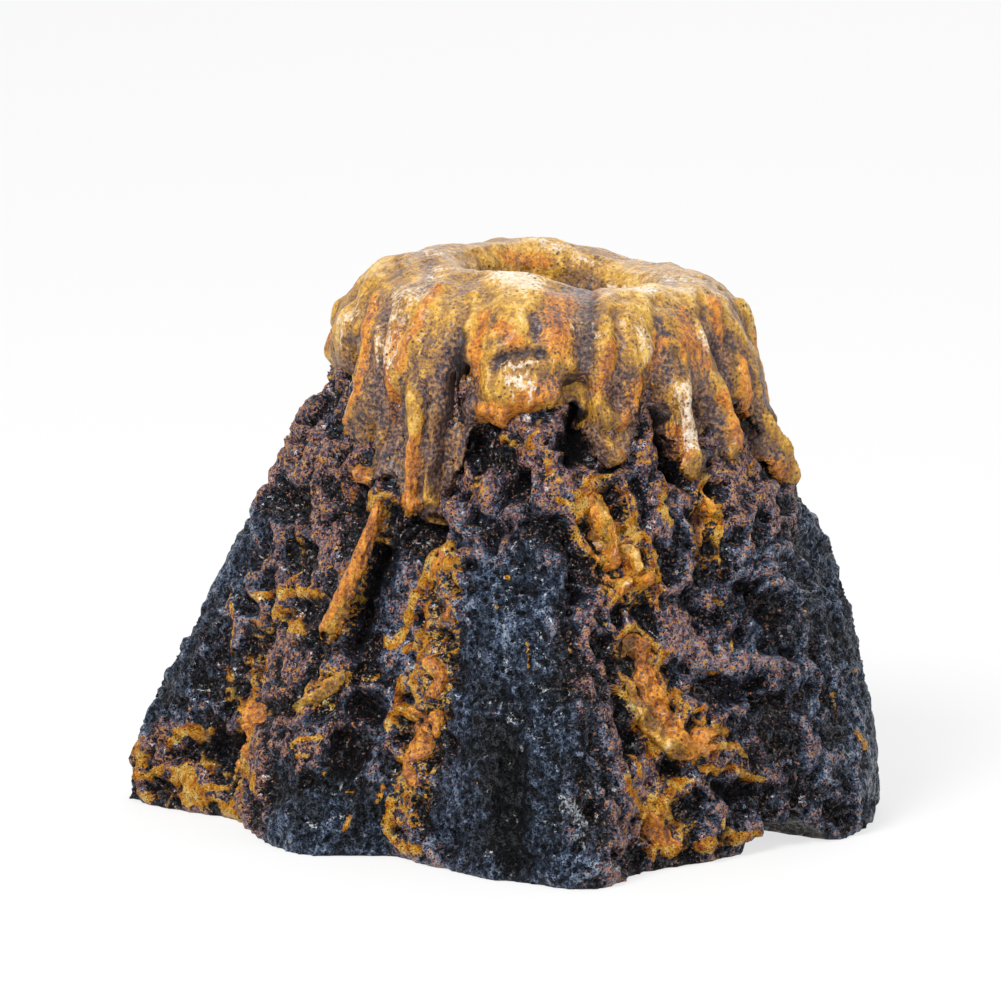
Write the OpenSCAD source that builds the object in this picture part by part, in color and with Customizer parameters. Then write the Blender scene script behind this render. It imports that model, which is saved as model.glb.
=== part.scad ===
// Volcano bubbling ornament for an aquarium.
// A hollow cast mountain with poured lava stands over a small bubbler: a base plate, an air line
// that is fed from the rear, and a porous air stone under the crater.
// Millimetres, +Z up, front towards -Y. The origin is the middle of the foot, on the tank floor.

/* [Mountain] */
// Width of the foot, left to right
foot_w = 70; // [60:1:84]
// Depth of the foot, front to back
foot_d = 67; // [58:1:80]
// Height of the rock under the lava crown
rock_h = 44; // [38:0.5:53]
// Radius of the rock where it meets the crown
rock_top_r = 17.2; // [16:0.1:20]
// How far the top leans to the right of the foot
lean = 3.3; // [0:0.1:4]
// How far the flanks bow to the right at half height
bow = 0.8; // [0:0.1:2]
// Power of the flank's curve: 1 is a straight cone, more is fuller
flank_curve = 1.5; // [1.2:0.1:1.8]
// How far the front right ridges turn from foot to top, in degrees
ridge_turn = 16; // [0:1:20]
// Height of the lumps on the flanks
lump_h = 0.6; // [0:0.1:0.8]

/* [Hollow] */
// How far the ledge over the plate's recess reaches in past the plate's edge
ledge_w = 1; // [0.5:0.1:3]
// How far the hollow's top reaches out past the throat
hollow_margin = 0.5; // [0.3:0.1:2]
// Depth of solid rock between the hollow and the rock's top
roof_t = 13; // [10:0.5:16]
// Clearance between the air stone and the throat that the bubbles rise through
throat_clear = 2; // [1:0.1:2.4]
// Clearance between the inlet's cradle and the airline notch, on each side
notch_clear = 0.5; // [0.4:0.1:1]
// Radius of the low water arch under the front right foot
arch_r = 5; // [4:0.5:6]
// Height of the water arch
arch_h = 2.5; // [1.5:0.5:3.5]

/* [Lava] */
// Thickness of the crown on the shoulders
crown_t = 2; // [1.2:0.1:2.6]
// Thickness at the tips of the crown's drips
drip_tip_t = 0.9; // [0.6:0.1:1.2]
// How far the crater's mouth flares out from the throat
mouth_flare = 1.3; // [0.8:0.1:1.6]
// Width of the crown's rim, from the crater's mouth to its highest line
rim_w = 2.7; // [1.5:0.1:3.5]
// Thickness of the lava in the gullies
run_t = 1; // [0.6:0.1:1.4]
// Thickness of the raised lava tube on the left
tube_t = 1.7; // [1.2:0.1:2]
// Glue gap between lava and rock
glue_gap = 0.25; // [0.2:0.05:0.4]

/* [Bubbler] */
// Radius of the base plate
plate_r = 20; // [18:0.5:21]
// Thickness of the base plate
plate_t = 2.5; // [2:0.1:3]
// Clearance between the plate and the mountain's recess
plate_clear = 0.4; // [0.3:0.1:0.6]
// Distance of the air stone's axis from the origin, to the right
vent_x = 5; // [4:0.5:6]
// Height of the air line's axis above the tank floor
line_z = 6.5; // [6:0.1:7.5]
// Diameter of the spigots that the hoses push on to
spigot_d = 4; // [3.6:0.1:4.4]
// Diameter of the air way inside the fittings
air_d = 2.2; // [1.6:0.1:2.6]
// Wall of the silicone hoses
hose_wall = 1; // [0.8:0.1:1.2]
// Clearance of a push fit, on the radius
push_clear = 0.05; // [0.02:0.01:0.08]
// Length that a spigot reaches into a hose
grip_l = 4; // [3:0.5:5]
// Length of hose between the two spigots that it joins
hose_span = 2; // [1:0.5:4]
// Length of the inlet spigot that the tank's airline pushes on to
inlet_l = 7; // [5:0.5:8]
// Diameter of the inlet's collar
collar_d = 6.4; // [5.6:0.1:7]
// Thickness of the inlet's collar and of the stem's flange
collar_t = 1.4; // [1:0.1:2]
// Diameter of the water holes in the plate
water_hole_d = 3; // [2:0.5:3.5]

/* [Air stone] */
// Diameter of the air stone
stone_d = 10; // [8:0.5:11]
// Length of the air stone
stone_l = 16; // [12:0.5:18]
// Rounding of the stone's edges
stone_round = 1.2; // [0.5:0.1:2]
// Depth of the stem's socket in the stone
socket_l = 4; // [3:0.5:6]

/* [Hidden] */
$fn = 48;

// Reach of the foot from the middle, as [azimuth, distance]: 0 is right, 90 rear, 180 left, 270 front
foot_reach = [
    [0, 34.6], [28, 30.5], [58, 34], [84, 30], [122, 33.6], [148, 29], [174, 35], [197, 25.4],
    [227, 27.4], [246, 23.4], [257, 26.3], [270, 30.8], [283, 35], [297, 29.9], [318, 29.7], [341, 34.8]
];
// Azimuth at which the ridges turn most
turn_azimuth = 315;

// Height of rock that the heights in the lists below are drawn for
drawn_h = 44;
// The crown's lower edge, as [azimuth, height below the rock's top, share of the crown's thickness]
drips = [
    [0, 6, 0.9], [12, 9.5, 1.1], [24, 3, 0.7], [40, 8, 1], [58, 3.5, 0.8], [74, 10, 1.1], [92, 4, 0.8],
    [108, 7.5, 1], [124, 3.5, 0.7], [140, 9, 1.1], [158, 3, 0.8], [176, 2, 0.8], [194, 3.4, 0.8],
    [206, 6, 0.9], [222, 10.5, 1.1], [230, 9, 0.9], [238, 12, 1.1], [245, 13.4, 1.1], [251, 4.5, 0.7],
    [258, 3.6, 1.1], [273, 3.6, 1.1], [280, 1.5, 0.7], [287, 8, 0.9], [295, 6.5, 0.9], [302, 3, 0.6],
    [313, 9, 1], [324, 8, 0.9], [334, 4, 0.7], [347, 12, 1.3]
];
// Height of the crown's rim above the rock, as [azimuth, height]
rim_rise = [[0, 6.4], [60, 7.2], [105, 8], [175, 8.2], [215, 7.6], [270, 6.9], [320, 6.6]];

// Lava in the gullies, as the [azimuth, height] points of each run's middle line
tube_path = [[231.5, 32.5], [229.5, 28.5], [226.5, 24], [224, 20]];
left_streak_path = [[230, 16.6], [226, 15.2], [220.5, 13.6]];
left_gully_path = [[194, 19], [195, 14.5], [196, 9.5], [197, 4]];
centre_gully_path = [[249, 28.5], [250, 22], [250, 16], [249, 10], [248, 4]];
front_upper_path = [[286, 34.5], [287.5, 31], [291, 27.5], [294, 24]];
front_lower_path = [[291.5, 21.5], [294, 18], [298, 14], [303, 11.4], [309, 11.6]];
foot_path = [[301.5, 7.5], [300, 4.5], [300, 2]];
right_thin_path = [[315.5, 33], [313.5, 30], [311.5, 26.5]];
rear_left_path = [[131, 34], [129, 27], [126, 20], [123, 13]];
rear_middle_path = [[90, 33], [92, 28], [95, 23]];
rear_right_path = [[50, 34], [53, 26], [56, 18], [58, 10]];
tube_w = 2.4;
streak_w = 1.8;
narrow_w = 1.6;
gully_w = 4;
wide_w = 5;

// Mesh counts of the rock, the crown and the runs
columns = 96;
rock_rings = 20;
drip_rings = 6;
shoulder_angles = [22, 45, 68];
stations_per_point = 3;

// How far the crown's rim drops towards the crater, and then to the crater's mouth
rim_drop = 0.3;
mouth_drop = 1.6;
// Share of a run's width and thickness that is left at its ends
run_end_share = 0.4;
// Azimuth of the low water arch
arch_azimuth = 326;

// Small sizes of the fittings
plate_offset = 3;
hose_end_gap = 0.3;
cradle_wall = 1;
cradle_side = 0.8;
hub_wall = 0.8;
hub_gap = 1;
neck_step = 0.6;
flange_lip = 1.4;
peg_step = 0.5;
peg_l = 3;
boss_wall = 2;
water_holes = 8;
water_ring_inset = 4;
cut_past = 5;

// Shares of the height, and the hollow and crater round the air stone
height_share = rock_h / drawn_h;
throat_d = stone_d + 2 * throat_clear;
hollow_foot_r = plate_r - ledge_w;
hollow_top_r = throat_d / 2 + plate_offset + hollow_margin;
mouth_r = throat_d / 2 + mouth_flare;
rim_r = mouth_r + rim_w;

// Bubbler layout, worked out from the sizes above
plate_x = vent_x - plate_offset;
recess_r = plate_r + plate_clear;
recess_h = plate_t + plate_clear;
hollow_top_z = rock_h - roof_t;
spigot_r = spigot_d / 2;
air_r = air_d / 2;
hose_bore_r = spigot_r + push_clear;
hose_r = hose_bore_r + hose_wall;
hose_l = 2 * grip_l + hose_span;
elbow_reach = hose_r + hub_gap + grip_l;
elbow_hub_r = spigot_r + hub_wall;
riser_z = line_z + elbow_reach - grip_l;
link_y = elbow_reach - grip_l;
inlet_y = link_y + hose_l - grip_l;
collar_y = inlet_y + grip_l + cradle_wall + hose_end_gap;
collar_r = collar_d / 2;
neck_r = spigot_r + neck_step;
neck_l = cradle_wall + hose_end_gap;
spigot_y = collar_y + collar_t + neck_l;
inlet_tip_y = spigot_y + inlet_l;
stem_z = riser_z + hose_l - grip_l;
flange_z = stem_z + grip_l;
flange_r = spigot_r + flange_lip;
stone_z = flange_z + collar_t;
peg_r = spigot_r - peg_step;
boss_r = spigot_r + boss_wall;
boss_z = line_z - elbow_hub_r - push_clear;
cradle_w = collar_d + 2 * cradle_side;
notch_w = cradle_w + 2 * notch_clear;
water_ring_r = plate_r - water_ring_inset;

// Smooth value at an azimuth, between the rows of a list that goes once round
function turned(az) = (az % 360 + 360) % 360;
function ease(t) = (1 - cos(180 * t)) / 2;
function around(rows, az, column = 1, i = 0) =
    let (
        row = rows[i],
        last = i == len(rows) - 1,
        next = last ? rows[0] : rows[i + 1],
        next_az = last ? next[0] + 360 : next[0],
        a = turned(az)
    )
    a <= next_az || last
        ? row[column] + (next[column] - row[column]) * ease((a - row[0]) / (next_az - row[0]))
        : around(rows, az, column, i + 1);

// The foot's outline is set to fill foot_w by foot_d
foot_rows = [for (c = [0 : columns - 1]) let (az = 360 * c / columns, r = around(foot_reach, az))
    [r * cos(az), r * sin(az)]];
foot_min = [for (k = [0, 1]) min([for (p = foot_rows) p[k]])];
foot_max = [for (k = [0, 1]) max([for (p = foot_rows) p[k]])];
foot_middle = (foot_min + foot_max) / 2;
foot_scale = [foot_w / (foot_max[0] - foot_min[0]), foot_d / (foot_max[1] - foot_min[1])];

// Lumps that swell and fade up the flank, none at the foot and the top
function lumps(az, u) = u <= 0 || u >= 1 ? 0 : lump_h * sin(180 * u)
    * (sin(7 * az + 260 * u) + 0.6 * sin(11 * az - 420 * u));

// Share of the ridges' turn at an azimuth, greatest at turn_azimuth
function sway(az) = pow((1 + cos(az - turn_azimuth)) / 2, 3);

// A point on the rock at an azimuth and height, moved outwards by rise
function rock_point(az, z, rise = 0) =
    let (
        u = z / rock_h,
        blend = pow(max(u, 0), flank_curve),
        reach = around(foot_reach, az + ridge_turn * u * sway(az)),
        out = rise + lumps(az, u),
        foot = [
            (reach * cos(az) - foot_middle[0]) * foot_scale[0],
            (reach * sin(az) - foot_middle[1]) * foot_scale[1]
        ],
        top = [lean + rock_top_r * cos(az), rock_top_r * sin(az)],
        p = foot + (top - foot) * blend,
        shift = bow * sin(180 * min(max(u, 0), 1))
    )
    [p[0] + out * cos(az) + shift, p[1] + out * sin(az), z];

function flat_ring(centre, r, az, z) = [centre + r * cos(az), r * sin(az), z];

// Triangles between rings of points; a closed loop joins its last ring to its first
function ring_faces(rings, count, closed = false) =
    [for (i = [0 : (closed ? rings - 1 : rings - 2)], j = [0 : count - 1])
        let (
            a = i * count + j,
            b = i * count + (j + 1) % count,
            c = ((i + 1) % rings) * count + (j + 1) % count,
            d = ((i + 1) % rings) * count + j
        )
        each [[a, b, c], [a, c, d]]];

// Triangles that close a ring to the point numbered tip
function cap_faces(start, count, tip, flip = false) =
    [for (j = [0 : count - 1])
        let (a = start + j, b = start + (j + 1) % count)
        flip ? [b, a, tip] : [a, b, tip]];

// The rock as one solid, before it is hollowed
module rock_body() {
    rings = [for (i = [0 : rock_rings], c = [0 : columns - 1])
        rock_point(-360 * c / columns, rock_h * i / rock_rings)];
    count = len(rings);
    points = concat(rings, [[0, 0, 0], [lean, 0, rock_h]]);
    faces = concat(
        ring_faces(rock_rings + 1, columns),
        cap_faces(0, columns, count, true),
        cap_faces(rock_rings * columns, columns, count + 1)
    );
    polyhedron(points, faces);
}

module mountain_shell() {
    color("#2b2a30")
    difference() {
        rock_body();
        translate([plate_x, 0, -cut_past])
            cylinder(r = recess_r, h = recess_h + cut_past);
        translate([plate_x, 0, recess_h - plate_clear / 2])
            cylinder(r1 = hollow_foot_r, r2 = hollow_top_r, h = hollow_top_z - recess_h);
        translate([vent_x, 0, hollow_top_z - cut_past])
            cylinder(d = throat_d, h = roof_t + 2 * cut_past);
        rear_notch();
        water_arch();
    }
}

// Room for the air line: a round-topped notch through the rear foot
module rear_notch() {
    translate([vent_x, foot_d, 0])
        rotate([90, 0, 0])
            linear_extrude(foot_d) {
                translate([0, line_z])
                    circle(d = notch_w);
                translate([-notch_w / 2, -cut_past])
                    square([notch_w, line_z + cut_past]);
            }
}

// Low arch that lets water in under the front right foot
module water_arch() {
    translate([plate_x, 0, arch_h - arch_r])
        rotate([0, 90, arch_azimuth])
            cylinder(r = arch_r, h = foot_w);
}

// One column of the crown: up the outside, over the rim, down the crater and back along the rock
function crown_loop(az) =
    let (
        low = rock_h - around(drips, az, 1) * height_share,
        t = crown_t * around(drips, az, 2),
        rim_z = rock_h + around(rim_rise, az),
        seat_z = rock_h + glue_gap,
        heights = [for (k = [0 : drip_rings]) low + (rock_h - low) * k / drip_rings],
        shoulder = rock_point(az, rock_h, glue_gap + t),
        rim = flat_ring(vent_x, rim_r, az, rim_z)
    )
    concat(
        [for (k = [0 : drip_rings])
            rock_point(az, heights[k], glue_gap + drip_tip_t + (t - drip_tip_t) * ease(k / drip_rings))],
        [for (a = shoulder_angles) [
            rim[0] + (shoulder[0] - rim[0]) * cos(a),
            rim[1] + (shoulder[1] - rim[1]) * cos(a),
            rock_h + (rim_z - rock_h) * sin(a)
        ]],
        [
            rim,
            flat_ring(vent_x, (rim_r + mouth_r) / 2, az, rim_z - rim_drop),
            flat_ring(vent_x, mouth_r, az, rim_z - mouth_drop),
            flat_ring(vent_x, (mouth_r + throat_d / 2) / 2, az, (rim_z + rock_h) / 2),
            flat_ring(vent_x, throat_d / 2 + glue_gap, az, seat_z)
        ],
        [let (p = rock_point(az, rock_h, glue_gap)) [p[0], p[1], seat_z]],
        [for (k = [drip_rings - 1 : -1 : 0]) rock_point(az, heights[k], glue_gap)]
    );

module lava_crown() {
    loops = [for (c = [0 : columns - 1]) crown_loop(360 * c / columns)];
    count = len(loops[0]);
    color("#d08a1e")
        polyhedron([for (l = loops) each l], ring_faces(columns, count, true));
}

// A run's middle line: a smooth curve through its points
function bend(path, i) = path[max(0, min(len(path) - 1, i))];
function along(path, t) =
    let (
        i = min(floor(t), len(path) - 2),
        s = t - i,
        a = bend(path, i - 1),
        b = bend(path, i),
        c = bend(path, i + 1),
        d = bend(path, i + 2)
    )
    (2 * b + (c - a) * s + (2 * a - 5 * b + 4 * c - d) * s * s + (3 * b - a - 3 * c + d) * s * s * s) / 2;

// Section of a run, as [place across, height]: rounded above, laid on the rock below
run_section = [
    [-1, 0], [-0.8, 0.55], [-0.4, 0.9], [0, 1], [0.4, 0.9], [0.8, 0.55], [1, 0], [0.5, 0], [0, 0], [-0.5, 0]
];

// Degrees of azimuth per millimetre, near the rock's face
function az_per_mm(p) = 180 / PI / norm([for (k = [0, 1]) rock_point(p[0], p[1])[k] - (k == 0 ? lean : 0)]);

module lava_run(drawn_path, w, t) {
    path = [for (p = drawn_path) [p[0], p[1] * height_share]];
    last = (len(path) - 1) * stations_per_point;
    span = len(path) - 1;
    stations = [for (i = [0 : last])
        let (
            at = along(path, span * i / last),
            before = along(path, span * max(0, i - 1) / last),
            after = along(path, span * min(last, i + 1) / last),
            per_mm = az_per_mm(at),
            way = [(after[0] - before[0]) / per_mm, after[1] - before[1]],
            side = [-way[1], way[0]] / norm(way),
            taper = run_end_share + (1 - run_end_share) * sqrt(sin(180 * i / last))
        )
        [for (q = run_section)
            rock_point(
                at[0] + side[0] * q[0] * taper * w / 2 * per_mm,
                at[1] + side[1] * q[0] * taper * w / 2,
                glue_gap + q[1] * taper * t
            )]];
    count = len(run_section);
    first_tip = (last + 1) * count;
    tips = [for (s = [stations[0], stations[last]]) (s[3] + s[8]) / 2];
    points = concat([for (s = stations) each s], tips);
    faces = concat(
        ring_faces(last + 1, count),
        cap_faces(0, count, first_tip, true),
        cap_faces(last * count, count, first_tip + 1)
    );
    polyhedron(points, faces);
}

module left_lava_tube() {
    color("#c98216") lava_run(tube_path, tube_w, tube_t);
}

module left_streak_lava() {
    color("#cf9b28") lava_run(left_streak_path, streak_w, run_t);
}

module left_gully_lava() {
    color("#b9601c") lava_run(left_gully_path, gully_w, run_t);
}

module centre_gully_lava() {
    color("#b9601c") lava_run(centre_gully_path, gully_w, run_t);
}

module front_upper_lava() {
    color("#c5922b") lava_run(front_upper_path, wide_w, run_t);
}

module front_lower_lava() {
    color("#c98a20") lava_run(front_lower_path, gully_w, run_t);
}

module foot_lava() {
    color("#c4661a") lava_run(foot_path, wide_w, run_t);
}

module right_thin_lava() {
    color("#b9601c") lava_run(right_thin_path, narrow_w, run_t);
}

module rear_left_lava() {
    color("#c98a20") lava_run(rear_left_path, gully_w, run_t);
}

module rear_middle_lava() {
    color("#b9601c") lava_run(rear_middle_path, narrow_w, run_t);
}

module rear_right_lava() {
    color("#c4661a") lava_run(rear_right_path, gully_w, run_t);
}

// A cylinder that lies along +Y on the air line, from y to y + l
module line_rod(r, y, l) {
    translate([vent_x, y, line_z])
        rotate([-90, 0, 0])
            cylinder(r = r, h = l);
}

// A cylinder that stands on the air stone's axis, from z to z + l
module vent_rod(r, z, l) {
    translate([vent_x, 0, z])
        cylinder(r = r, h = l);
}

module base_plate() {
    cradle_y = collar_y - cradle_wall;
    cradle_l = collar_t + 2 * cradle_wall;
    color("#e4e2da")
    difference() {
        union() {
            translate([plate_x, 0, 0])
                cylinder(r = plate_r, h = plate_t);
            vent_rod(boss_r, 0, boss_z);
            translate([vent_x - cradle_w / 2, cradle_y, plate_t / 2])
                cube([cradle_w, cradle_l, line_z - plate_t / 2]);
        }
        vent_rod(peg_r + push_clear, boss_z - peg_l, peg_l + cut_past);
        line_rod(spigot_r + push_clear, cradle_y - cut_past, cradle_l + cut_past);
        line_rod(neck_r + push_clear, collar_y, cradle_l + cut_past);
        line_rod(collar_r + push_clear, collar_y - push_clear, collar_t + 2 * push_clear);
        for (i = [0 : water_holes - 1])
            rotate_about_plate((i + 0.5) * 360 / water_holes)
                translate([water_ring_r, 0, -cut_past])
                    cylinder(d = water_hole_d, h = plate_t + 2 * cut_past);
    }
}

module rotate_about_plate(a) {
    translate([plate_x, 0, 0])
        rotate([0, 0, a])
            children();
}

// Elbow: turns the air line upwards, with a peg that stands in the plate's boss
module elbow_fitting() {
    color("#c9ccca")
    difference() {
        union() {
            translate([vent_x, 0, line_z])
                sphere(r = elbow_hub_r);
            vent_rod(spigot_r, line_z, elbow_reach);
            line_rod(spigot_r, 0, elbow_reach);
            vent_rod(peg_r, boss_z - peg_l + push_clear, line_z - boss_z + peg_l - push_clear);
        }
        vent_rod(air_r, line_z, elbow_reach + cut_past);
        line_rod(air_r, 0, elbow_reach + cut_past);
    }
}

module link_hose() {
    color("#dfe3df")
    difference() {
        line_rod(hose_r, link_y, hose_l);
        line_rod(hose_bore_r, link_y - cut_past, hose_l + 2 * cut_past);
    }
}

// Inlet: a spigot for the hose inside, a collar and neck in the cradle, a spigot for the tank's airline
module inlet_nipple() {
    color("#c9ccca")
    difference() {
        union() {
            line_rod(spigot_r, inlet_y, inlet_tip_y - inlet_y);
            line_rod(collar_r, collar_y, collar_t);
            line_rod(neck_r, collar_y, collar_t + neck_l);
        }
        line_rod(air_r, inlet_y - cut_past, inlet_tip_y - inlet_y + 2 * cut_past);
    }
}

module riser_hose() {
    color("#dfe3df")
    difference() {
        vent_rod(hose_r, riser_z, hose_l);
        vent_rod(hose_bore_r, riser_z - cut_past, hose_l + 2 * cut_past);
    }
}

// Stem: plugs into the riser hose below and into the stone above its flange
module stone_stem() {
    color("#8fa7b5")
    difference() {
        union() {
            vent_rod(spigot_r, stem_z, grip_l + collar_t + socket_l);
            vent_rod(flange_r, flange_z, collar_t);
        }
        vent_rod(air_r, stem_z - cut_past, grip_l + collar_t + socket_l + 2 * cut_past);
    }
}

// Porous stone with rounded edges and the stem's socket in its lower end
module air_stone() {
    r = stone_d / 2;
    color("#6f7f8c")
    difference() {
        translate([vent_x, 0, stone_z])
            rotate_extrude()
                difference() {
                    square([r, stone_l]);
                    for (end = [0, stone_l])
                        edge_cut(r, end);
                }
        vent_rod(spigot_r + push_clear, stone_z - cut_past, socket_l + push_clear + cut_past);
    }
}

// What a rounded edge takes off the stone's profile at its lower or upper end
module edge_cut(r, end) {
    inwards = end == 0 ? 1 : -1;
    difference() {
        translate([r - stone_round, min(end, end + inwards * stone_round)])
            square(stone_round);
        translate([r - stone_round, end + inwards * stone_round])
            circle(r = stone_round);
    }
}

mountain_shell();
lava_crown();
left_lava_tube();
left_streak_lava();
left_gully_lava();
centre_gully_lava();
front_upper_lava();
front_lower_lava();
foot_lava();
right_thin_lava();
rear_left_lava();
rear_middle_lava();
rear_right_lava();
base_plate();
elbow_fitting();
link_hose();
inlet_nipple();
riser_hose();
stone_stem();
air_stone();
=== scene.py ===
"""Looks of the volcano bubbling ornament: a craggy cast rock, poured lava and the bubbler inside it."""
import logging
import math
from collections.abc import Sequence
from dataclasses import dataclass
from enum import Enum

import bpy
import numpy as np
from mathutils import Color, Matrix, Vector, noise
from mathutils.bvhtree import BVHTree


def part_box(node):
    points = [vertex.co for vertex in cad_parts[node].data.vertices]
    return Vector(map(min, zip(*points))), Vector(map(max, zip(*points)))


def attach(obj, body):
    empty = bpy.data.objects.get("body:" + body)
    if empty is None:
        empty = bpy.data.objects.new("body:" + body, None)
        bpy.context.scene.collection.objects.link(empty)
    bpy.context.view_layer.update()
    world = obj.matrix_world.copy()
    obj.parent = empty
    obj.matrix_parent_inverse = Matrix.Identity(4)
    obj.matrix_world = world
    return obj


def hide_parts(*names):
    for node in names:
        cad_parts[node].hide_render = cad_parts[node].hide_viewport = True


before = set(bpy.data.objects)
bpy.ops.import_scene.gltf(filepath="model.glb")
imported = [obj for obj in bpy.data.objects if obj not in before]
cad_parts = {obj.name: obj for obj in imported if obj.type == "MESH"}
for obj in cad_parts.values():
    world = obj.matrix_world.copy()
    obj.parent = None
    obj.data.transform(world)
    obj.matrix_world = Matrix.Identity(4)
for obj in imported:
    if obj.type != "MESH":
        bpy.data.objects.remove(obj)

LOG = logging.getLogger("ornament")
MM = 0.001
PHOTO_SIDE = 1001
RING_SIDES = 64
WANDER_SEED = 7
MERGE_GAP = 1e-6
SHARP_ANGLE = math.radians(35)
SMOOTHING = 0.5

# How the layers of the cloudy noise fade and shrink, and how sharp its crests are
NOISE_FADE = 0.8
NOISE_SHRINK = 2.0
CREST_SHARPNESS = 2.2

# Ways that a seed shifts the noise and the pits, what picks the pits that are there, and how wide they are
NOISE_WAY = (1.0, 1.7, -1.0)
PIT_WAY = (1.0, -1.0, 0.6)
LUCK_WAY = Vector((91.7, 57.3, 23.9))
PIT_REACH = 0.3
PIT_SPREAD = 0.25

Pixel = tuple[float, float]
Ring = tuple[float, float]
Band = tuple[float, float]
Point = tuple[float, float, float]
Stops = tuple[tuple[float, str], ...]
Array = np.ndarray
Piece = bpy.types.Object
NodeTree = bpy.types.NodeTree
Socket = bpy.types.NodeSocket


class Body(Enum):
    """Bodies of the frame that pieces ride on."""

    BUBBLER = "bubbler"
    STONE = "stone"
    MOUNTAIN = "mountain"


class Slot(Enum):
    """Material slots of the record."""

    ROCK = "rock_resin"
    LAVA = "lava_resin"
    PLATE = "pale_plastic"
    FITTING = "fitting_plastic"
    HOSE = "silicone"
    STEM = "stem_plastic"
    STONE = "air_stone_mineral"


class Place(Enum):
    """How the points of a stroke are given."""

    PHOTO = "pixels of the photograph, cast on to the surface"
    ROUND = "azimuth in degrees and height in mm"


class Seed(float, Enum):
    """Offsets that give each noise a pattern of its own."""

    WEB = 11.0
    CRUMB = 4.0
    PIT = 5.0
    HOLE = 8.0
    GRIT = 21.0
    LUMP = 3.0
    UNDER_CROWN = 14.0
    FOOT = 9.0
    STREAK = 7.0
    WRINKLE = 27.0
    POUR = 17.0
    PIN = 2.0
    THIN = 41.0
    BREAK = 51.0
    GRANULE = 31.0


# Sculpting


@dataclass(frozen=True)
class Stroke:
    """A line drawn over the rock or the lava with a soft round tool.

    Args:
        points: The line's points, as the place says.
        width: Half width of the tool, in mm.
        amount: Height in mm, or strength of paint.
        place: How the points are given.
    """

    points: Sequence[Pixel]
    width: float
    amount: float = 1.0
    place: Place = Place.PHOTO


def strokes(*rows: tuple[float, ...], place: Place = Place.PHOTO) -> tuple[Stroke, ...]:
    """Strokes from the rows of a table.

    Args:
        rows: Width and amount of each stroke, and then both numbers of each of its points.
        place: How the points are given.

    Returns:
        The strokes.
    """
    drawn = []
    for width, amount, *line in rows:
        drawn.append(Stroke(tuple(zip(line[::2], line[1::2])), width, amount, place))
    return tuple(drawn)


@dataclass(frozen=True)
class PhotoCamera:
    """The camera that took the photograph, in metres."""

    eye: Vector = Vector((0.0, -0.781, 0.177))
    aim: Vector = Vector((-0.00014, 0.0, 0.0292))
    lens_mm: float = 308.8
    sensor_mm: float = 36.0
    near: float = 0.01
    far: float = 10.0

    def build(self) -> Piece:
        """Makes the scene's camera.

        Returns:
            The camera object.
        """
        data = bpy.data.cameras.new("photo_camera")
        data.lens = self.lens_mm
        data.sensor_width = self.sensor_mm
        data.clip_start = self.near
        data.clip_end = self.far
        camera = bpy.data.objects.new("photo_camera", data)
        bpy.context.scene.collection.objects.link(camera)
        camera.location = self.eye
        camera.rotation_euler = (self.aim - self.eye).to_track_quat("-Z", "Y").to_euler()
        bpy.context.scene.camera = camera
        return camera

    def ray(self, pixel: Pixel) -> Vector:
        """Direction from the eye through a pixel.

        Args:
            pixel: Column and row in the photograph.

        Returns:
            The direction, of length 1.
        """
        ahead = (self.aim - self.eye).normalized()
        right = ahead.cross(Vector((0, 0, 1))).normalized()
        up = right.cross(ahead)
        focal = self.lens_mm / self.sensor_mm * PHOTO_SIDE
        middle = PHOTO_SIDE / 2
        return (ahead * focal + right * (pixel[0] - middle) - up * (pixel[1] - middle)).normalized()


def frame_tree(nodes: Sequence[str]) -> BVHTree:
    """Gathers the triangles of some of the frame's nodes.

    Args:
        nodes: Names of the nodes.

    Returns:
        Their search tree, in metres.
    """
    corners, faces = [], []
    for name in nodes:
        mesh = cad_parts[name].data
        first = len(corners)
        corners += [v.co.copy() for v in mesh.vertices]
        faces += [[first + i for i in p.vertices] for p in mesh.polygons]
    return BVHTree.FromPolygons(corners, faces)


class Ground:
    """Nodes of the frame as one surface that strokes are laid on."""

    # Step along a stroke in mm, and how far out a level ray starts in metres
    step_mm = 0.25
    far = 0.3

    def __init__(self, camera: PhotoCamera, nodes: list[str]) -> None:
        """Gathers the surface from some nodes, and keeps the camera that casts strokes on to it."""
        self.camera = camera
        self.tree = frame_tree(nodes)

    def hit(self, point: Pixel, place: Place) -> Vector | None:
        """Where a stroke's point falls on the surface.

        Args:
            point: A pixel, or an azimuth and height.
            place: Which of the two it is.

        Returns:
            The point in metres, or None off the surface.
        """
        if place is Place.PHOTO:
            return self.tree.ray_cast(self.camera.eye, self.camera.ray(point))[0]
        turn = math.radians(point[0])
        out = Vector((math.cos(turn), math.sin(turn), 0))
        axis = Vector((Rock.axis_x(np.array([point[1]]))[0] * MM, 0, point[1] * MM))
        return self.tree.ray_cast(axis + out * self.far, -out)[0]

    def trace(self, stroke: Stroke) -> Array:
        """A stroke's line on the surface, with a point every short step.

        Args:
            stroke: The stroke.

        Returns:
            Points in mm, one per row.
        """
        ends = [p for p in (self.hit(q, stroke.place) for q in stroke.points) if p is not None]
        length = sum((b - a).length for a, b in zip(ends, ends[1:])) / MM
        count = max(2, int(length / self.step_mm))
        at = np.linspace(0, len(stroke.points) - 1, count)
        rows = np.array(stroke.points, float)
        steps = range(len(rows))
        line = zip(np.interp(at, steps, rows[:, 0]), np.interp(at, steps, rows[:, 1]))
        found = [p for p in (self.hit(q, stroke.place) for q in line) if p is not None]
        return np.array(found).reshape(-1, 3) / MM


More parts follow.
